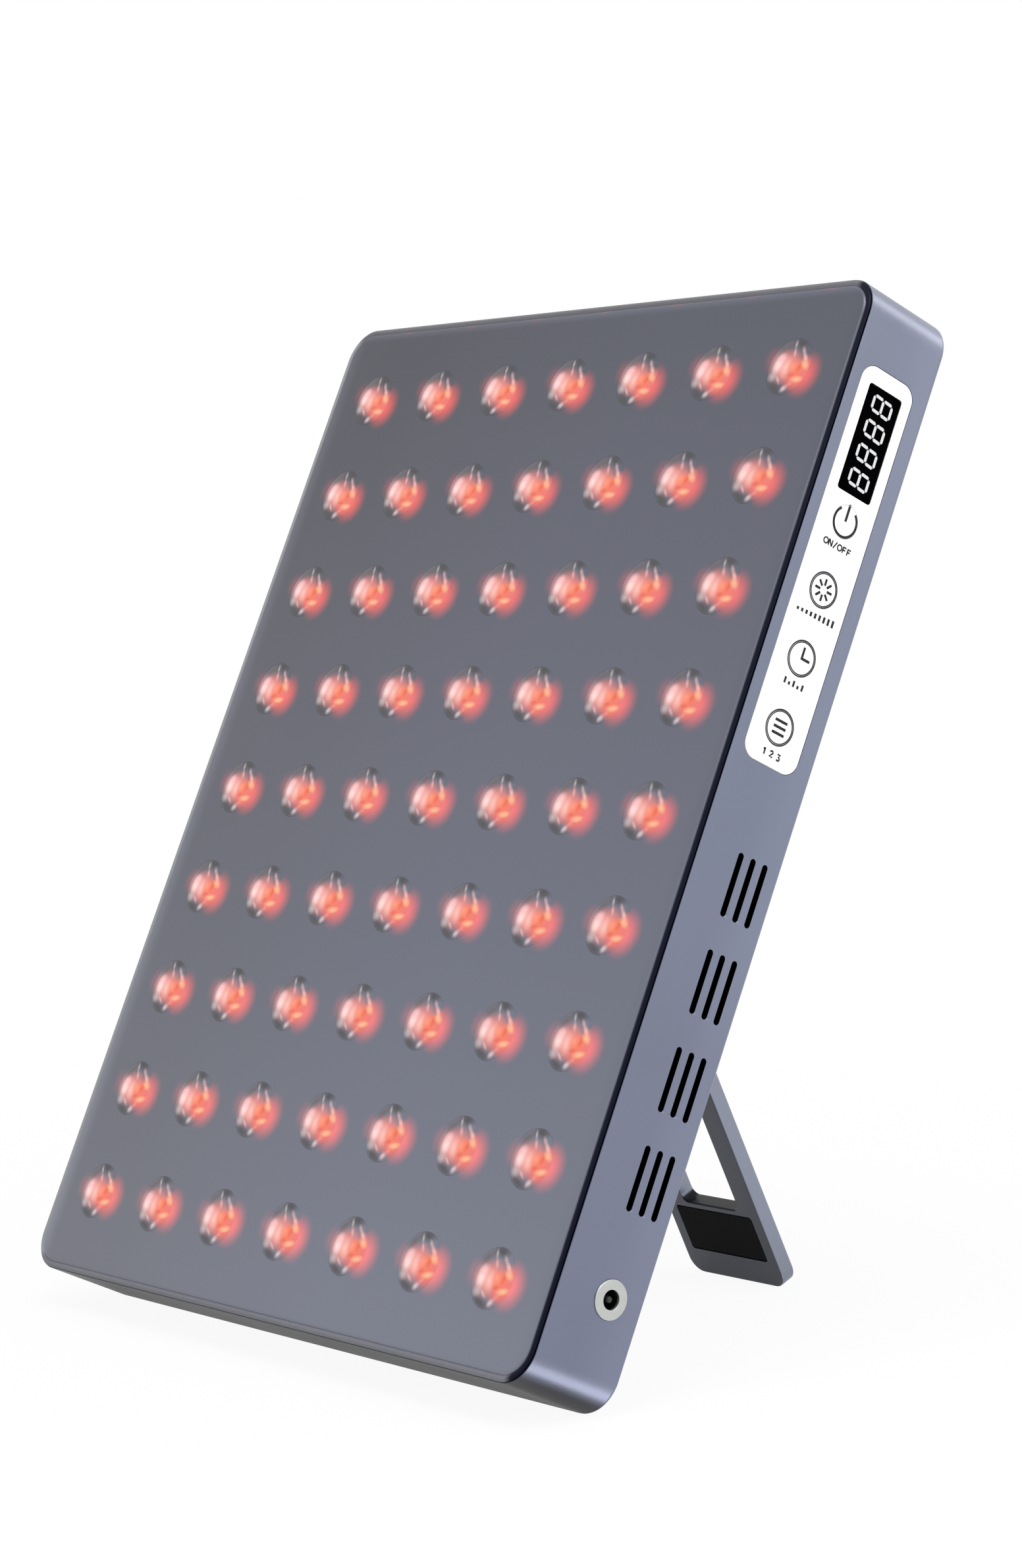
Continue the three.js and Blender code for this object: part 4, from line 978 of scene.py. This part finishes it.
def digits():
    """Four seven-segment figures in a row up the panel, each lying on its side."""
    made = Shell()
    wide, tall = FIGURE_HALF, FIGURE_TALL
    bars = [((across, -wide), (across, wide)) for across in (-tall, 0.0, tall)]
    bars += [((low, side), (low + tall, side)) for low in (-tall, 0.0) for side in (-wide, wide)]
    for index in range(FIGURES):
        centre = DISPLAY_Z + (index - (FIGURES - 1) / 2) * FIGURE_PITCH
        for start, end in bars:
            start, end = Vector(start), Vector(end)
            way = (end - start).normalized()
            side = Vector((-way.y, way.x)) * BAR_HALF
            start, end = start + way * BAR_GAP, end - way * BAR_GAP
            corners = [start, start + way * BAR_HALF * 0.9 + side, end - way * BAR_HALF + side]
            corners += [end, end - way * BAR_HALF - side, start + way * BAR_HALF - side]
            middle = FASCIA_Y + FIGURE_SHIFT
            placed = [(middle + u, v - FIGURE_SLANT * u + centre) for u, v in corners]
            made.block([(x, y, z) for y, z in placed] for x in (PRINT_LOW, PRINT_TOP))
    return made


piece("display_pane", display_pane(), [GLASS_BLACK], ["display_window"])
piece("display_digits", digits(), [DIGIT], sharp=60)


# ---- jack: profiles of (radius, place from the panel's middle to its right)
RING_PROFILE = (
    (3.5, 110.9), (4.2, 110.9), (4.2, 118.9), (5.3, 118.9), (5.3, 119.6), (5.2, 119.8),
    (4.95, 119.9), (2.72, 119.9), (2.66, 119.88), (2.62, 119.82), (2.62, 118.9), (3.5, 118.9),
    (3.5, 110.9),
)
SOCKET_PROFILE = (
    (0.0, 105.5), (5.0, 105.5), (5.0, 109.5), (3.3, 109.5), (3.3, 118.6), (2.75, 118.6),
    (2.75, 110.0), (1.35, 110.0), (1.35, 108.0), (0.0, 108.0),
)
CONTACT_PROFILE = (
    (0.0, 108.3), (0.95, 108.3), (0.95, 118.6), (0.85, 119.1), (0.5, 119.4), (0.0, 119.5)
)
for name, profile, steps, paint, slot, node in (
    ("jack_ring", RING_PROFILE, 48, STEEL, "bright_steel", "jack_bezel"),
    ("jack_socket", SOCKET_PROFILE, 40, PLASTIC, "black_plastic", "jack_body"),
    ("jack_contact", CONTACT_PROFILE, 24, CONTACT, "bright_steel", "jack_pin"),
):
    piece(name, turned(profile, steps, "X", JACK), [paint], [node], sharp=40)


# ---- stand, in its own frame: the hinge at the origin, the bars in the plane of X and Z
STAND_HALF, STAND_HALF_THICK, STAND_ROUND, STAND_HEEL = 21.25, 2.5, 0.5, 2.912
HEEL_CORNER, FOOT_CORNER = 1.5, 5.0
OPENING_WIDE, OPENING_CORNER = 25.3, 2.5
POCKET_SIZE, POCKET_CORNER, POCKET_FLOOR = (34.3, 15.6), 1.1, -1.2
PAD_SIZE, PAD_CORNER, PAD_ROUND, PAD_BACK = (33.7, 15.0), 0.8, 0.25, -1.5
PAD_MARGIN = 9.0
PAD_Z = PAD_MARGIN + PAD_SIZE[1] / 2 - STAND_LONG


def stand_plate():
    """The folding stand: a bar frame with an opening and a pocket for its pad."""
    made = Shell()

    def outline(inset):
        points = []
        heel = (STAND_HALF - HEEL_CORNER, STAND_HEEL - HEEL_CORNER, HEEL_CORNER)
        foot = (STAND_HALF - FOOT_CORNER, FOOT_CORNER - STAND_LONG, FOOT_CORNER)
        corners = ((RIGHT, heel), (LEFT, heel), (LEFT, foot), (RIGHT, foot))
        for turn, (side, (x, z, radius)) in enumerate(corners):
            points += arc(radius - inset, 90 * turn, 90 * turn + 90, 8, (side * x, z))
        return points

    def opening(inset):
        low, high = STAND_FOOT - STAND_LONG, -STAND_TOP
        size = (OPENING_WIDE + 2 * inset, high - low + 2 * inset)
        shape = rounded(*size, OPENING_CORNER + inset, steps=6)
        return [(x, z + (low + high) / 2) for x, z in shape]

    edge = quarter(STAND_ROUND, steps=3)
    levels = [(e, b - STAND_HALF_THICK) for e, b in edge]
    levels += [(e, STAND_HALF_THICK - b) for e, b in reversed(edge)]
    outer = made.strips([(x, y, z) for x, z in outline(e)] for e, y in levels)
    inner = made.strips([(x, y, z) for x, z in opening(e)] for e, y in levels)
    shape, depths = rounded(*POCKET_SIZE, POCKET_CORNER, steps=5), (-STAND_HALF_THICK, POCKET_FLOOR)
    pocket = made.strips([(x, y, z + PAD_Z) for x, z in shape] for y in depths)
    made.cap(pocket[1])
    made.cap(outer[0], [inner[0], pocket[0]])
    made.cap(outer[-1], [inner[-1]])
    return made


def stand_pad():
    made = Shell()
    wide, high = PAD_SIZE
    rings = []
    for e, b in quarter(PAD_ROUND, steps=3):
        outline = rounded(wide - 2 * e, high - 2 * e, PAD_CORNER - e, steps=4)
        rings.append([(x, b - STAND_HALF_THICK, z + PAD_Z) for x, z in outline])
    rings.append([(x, PAD_BACK, z) for x, _, z in rings[-1]])
    made.block(rings)
    return made


piece("stand_bars", stand_plate(), [STAND_PAINT], ["stand_frame"], "stand", STAND)
piece("stand_grip", stand_pad(), [RUBBER], ["stand_pad"], "stand", STAND)


# ---- rear
SCREW_ACROSS, SCREW_UP = 111.5, 145.1
COVER_SCREWS = [
    (side * SCREW_ACROSS, z) for z in (-SCREW_UP, 0.0, SCREW_UP) for side in (LEFT, RIGHT)
]
COVER_RIM = (
    (2.9, COVER_FRONT), (2.9, COVER_BACK - 0.3), (3.0, COVER_BACK - 0.08), (3.2, COVER_BACK)
)
COVER_SINK = ((3.0, COVER_BACK), (1.6, COVER_FRONT + 0.3), (1.6, COVER_FRONT))

# A cover screw's profile about its axis, and the half width, reach and depth of its cross
HEAD_STEPS, SCREW_TIP, HEAD_FOOT = 32, COVER_BACK - 9, COVER_BACK - 1.3
SCREW_PROFILE = (
    (0.0, SCREW_TIP), (1.4, SCREW_TIP), (1.4, HEAD_FOOT), (2.8, COVER_BACK - 0.12),
    (2.7, COVER_BACK), (2.016, COVER_BACK),
)
CROSS_HALF, CROSS_REACH, CROSS_DEEP = 0.34, 1.54, 0.7


def rear_cover():
    made = Shell()
    loops = made.strips(frame_ring(inset, y) for inset, y in COVER_RIM)
    backs, fronts = [], []
    for middle in COVER_SCREWS:
        ends = made.strips([(p, y, q) for p, q in circle(r, 24, middle)] for r, y in COVER_SINK)
        backs.append(ends[0])
        fronts.append(ends[-1])
    made.cap(loops[-1], backs)
    made.cap(loops[0], fronts)
    return made


def cross_screw():
    """A countersunk screw with a cross recess."""
    made = turned(SCREW_PROFILE, HEAD_STEPS)
    ring = list(range(len(made.points) - HEAD_STEPS, len(made.points)))
    half, reach = CROSS_HALF, CROSS_REACH
    cross = []
    for i in range(4):
        c, s = math.cos(math.pi / 2 * i), math.sin(math.pi / 2 * i)
        for u, v in ((half, half), (half, reach), (-half, reach)):
            cross.append((u * c - v * s, u * s + v * c))
    levels = (COVER_BACK, COVER_BACK - CROSS_DEEP)
    loops = made.strips([(u, y, v) for u, v in cross] for y in levels)
    made.cap(ring, [loops[0]])
    made.cap(loops[1])
    return made


piece("rear_sheet", rear_cover(), [REAR], ["rear_cover"])
for index, (x, z) in enumerate(COVER_SCREWS, 1):
    screw, node = Shell(), f"cover_screw_{index}"
    screw.add(cross_screw(), (x, 0, z))
    piece(f"{node}_head", screw, [STEEL], [node], sharp=40)


# ---- finishes of the CAD nodes that stay
STAY = (
    (ALUMINIUM, "heat_spreader"),
    (BOARD, "driver_board", "control_board"),
    (SLEEVE, "driver_capacitor_1", "driver_capacitor_2"),
    (RED_LEAD, "power_lead", "led_lead"),
    (PLASTIC, "driver_inductor", "driver_terminal", "led_terminal", "display_module"),
    (PLASTIC, "control_lead", *(f"{name}_switch" for name in KEYS)),
    (STEEL, "jack_nut", "hinge_base", "hinge_pin"),
    (STEEL, "friction_washer_left", "friction_washer_right"),
    (STEEL, *(f"hinge_screw_{i}" for i in range(1, 5))),
)
for paint, *nodes in STAY:
    for node in nodes:
        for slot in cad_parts[node].material_slots:
            slot.material = paint.material


# ---- studio
WORLD_SOFT, WORLD_SEEN = 0.62, 1.0
FLOOR_HALF, FLOOR_GLOSS, FLOOR_COLOUR = 6.0, 0.45, (0.9, 0.9, 0.9, 1.0)
FLOOR_NEAR, FLOOR_FAR, FLOOR_NEAR_SHARE = 0.2, 0.7, 0.93
PLAIN_WHITE = (1.0, 1.0, 1.0)


def backdrop():
    """White world for what the camera, gloss and glass see, and soft light for the rest."""
    world = bpy.data.worlds.new("studio")
    bpy.context.scene.world = world
    world.use_nodes = True
    nodes = Nodes(world.node_tree)
    rays = nodes.node("ShaderNodeLightPath").outputs
    seen = nodes.math("MAXIMUM", rays["Is Camera Ray"], rays["Is Glossy Ray"])
    seen = nodes.math("MAXIMUM", seen, rays["Is Transmission Ray"])
    inputs = {"Value": seen, "To Min": WORLD_SOFT, "To Max": WORLD_SEEN}
    back = nodes.tree.nodes["Background"]
    nodes.feed(back.inputs["Strength"], nodes.node("ShaderNodeMapRange", inputs).outputs[0])
    back.inputs["Color"].default_value = (*PLAIN_WHITE, 1.0)


def floor():
    """A pale floor that shows white far away and keeps the object's shadow near it."""
    mesh = bpy.data.meshes.new("floor")
    corners = [(x * FLOOR_HALF, y * FLOOR_HALF, 0) for x, y in CORNERS]
    mesh.from_pydata(corners, [], [(0, 1, 2, 3)])
    made = linked("floor", mesh)
    paint = Paint("floor")
    paint.tree.nodes.remove(paint.shader)
    rays = paint.node("ShaderNodeLightPath").outputs
    seen = paint.math("MAXIMUM", rays["Is Camera Ray"], rays["Is Transmission Ray"])
    seen = paint.math("MAXIMUM", seen, paint.product(rays["Is Glossy Ray"], FLOOR_GLOSS))
    matte = paint.node("ShaderNodeBsdfDiffuse", {"Color": FLOOR_COLOUR})
    light = paint.node("ShaderNodeEmission", {"Color": (*PLAIN_WHITE, 1.0), "Strength": 1.0})
    away = paint.ramp(paint.length(paint.place()), FLOOR_NEAR, FLOOR_FAR, FLOOR_NEAR_SHARE, 1.0)
    inputs = {0: paint.product(seen, away), 1: matte.outputs[0], 2: light.outputs[0]}
    paint.feed(paint.output.inputs["Surface"], paint.node("ShaderNodeMixShader", inputs).outputs[0])
    mesh.materials.append(paint.material)
    made.visible_shadow = False


def lamp(name, place, target, size, power, colour=PLAIN_WHITE):
    """A round soft lamp; returns its light data."""
    data = bpy.data.lights.new(name, "AREA")
    data.shape = "DISK"
    data.size = size
    data.energy = power
    data.color = colour
    made = linked(name, data)
    made.location = place
    made.rotation_mode = "QUATERNION"
    made.rotation_quaternion = (Vector(target) - Vector(place)).to_track_quat("-Z", "Y")
    return data


backdrop()
floor()

# Lamps: name, place, target, size in metres, watts and colour
lamp("key", (0.5, -0.5, 1.6), (0.0, 0.0, 0.15), 0.9, 14.0)
lamp("corner", (0.37, 1.0, 0.78), (0.115, 0.05, 0.28), 0.42, 1.0, (1.0, 0.95, 0.86))
lamp("side", (1.7, 0.3, 0.9), (0.1, 0.0, 0.15), 1.0, 8.0)
under = lamp("under", (0.40, 0.10, -0.44), (0.117, -0.07, 0.01), 0.26, 0.5, (1.0, 0.97, 0.92))
under.cycles.use_multiple_importance_sampling = False


# ---- camera, as solved from the lens grid: its place in panel millimetres, and its directions to
# the right, down and ahead in the picture as shares of the panel's own right, up and front
IMAGE_HIGH, FOCAL_PIXELS, SENSOR = 2380, 5797.5, 36.0
CAMERA_PLACE = Vector((864.52, -603.99, -204.96))
CAMERA_RIGHT = (0.60974881, 0.30944067, -0.72969368)
CAMERA_DOWN = (0.03190952, -0.92947667, -0.36749817)
CAMERA_AHEAD = (-0.79195213, 0.2007974, -0.57662139)
SHIFT_PIXELS = (-0.85, 0.5)


def camera():
    data = bpy.data.cameras.new("camera")
    data.sensor_fit = "VERTICAL"
    data.sensor_height = SENSOR
    data.lens = SENSOR * FOCAL_PIXELS / IMAGE_HIGH
    data.clip_start, data.clip_end = 0.02, 50
    data.shift_x, data.shift_y = (pixels / IMAGE_HIGH for pixels in SHIFT_PIXELS)
    made = linked("camera", data)
    across, back, up = (PANEL.to_3x3() * 1000).col
    right, down, ahead = (
        across * u + up * v - back * w for u, v, w in (CAMERA_RIGHT, CAMERA_DOWN, CAMERA_AHEAD)
    )
    turn = Matrix((right, -down, -ahead)).transposed()
    made.matrix_world = Matrix.Translation(PANEL @ CAMERA_PLACE) @ turn.to_4x4()
    bpy.context.scene.camera = made


camera()
bpy.context.scene.view_settings.view_transform = "Standard"
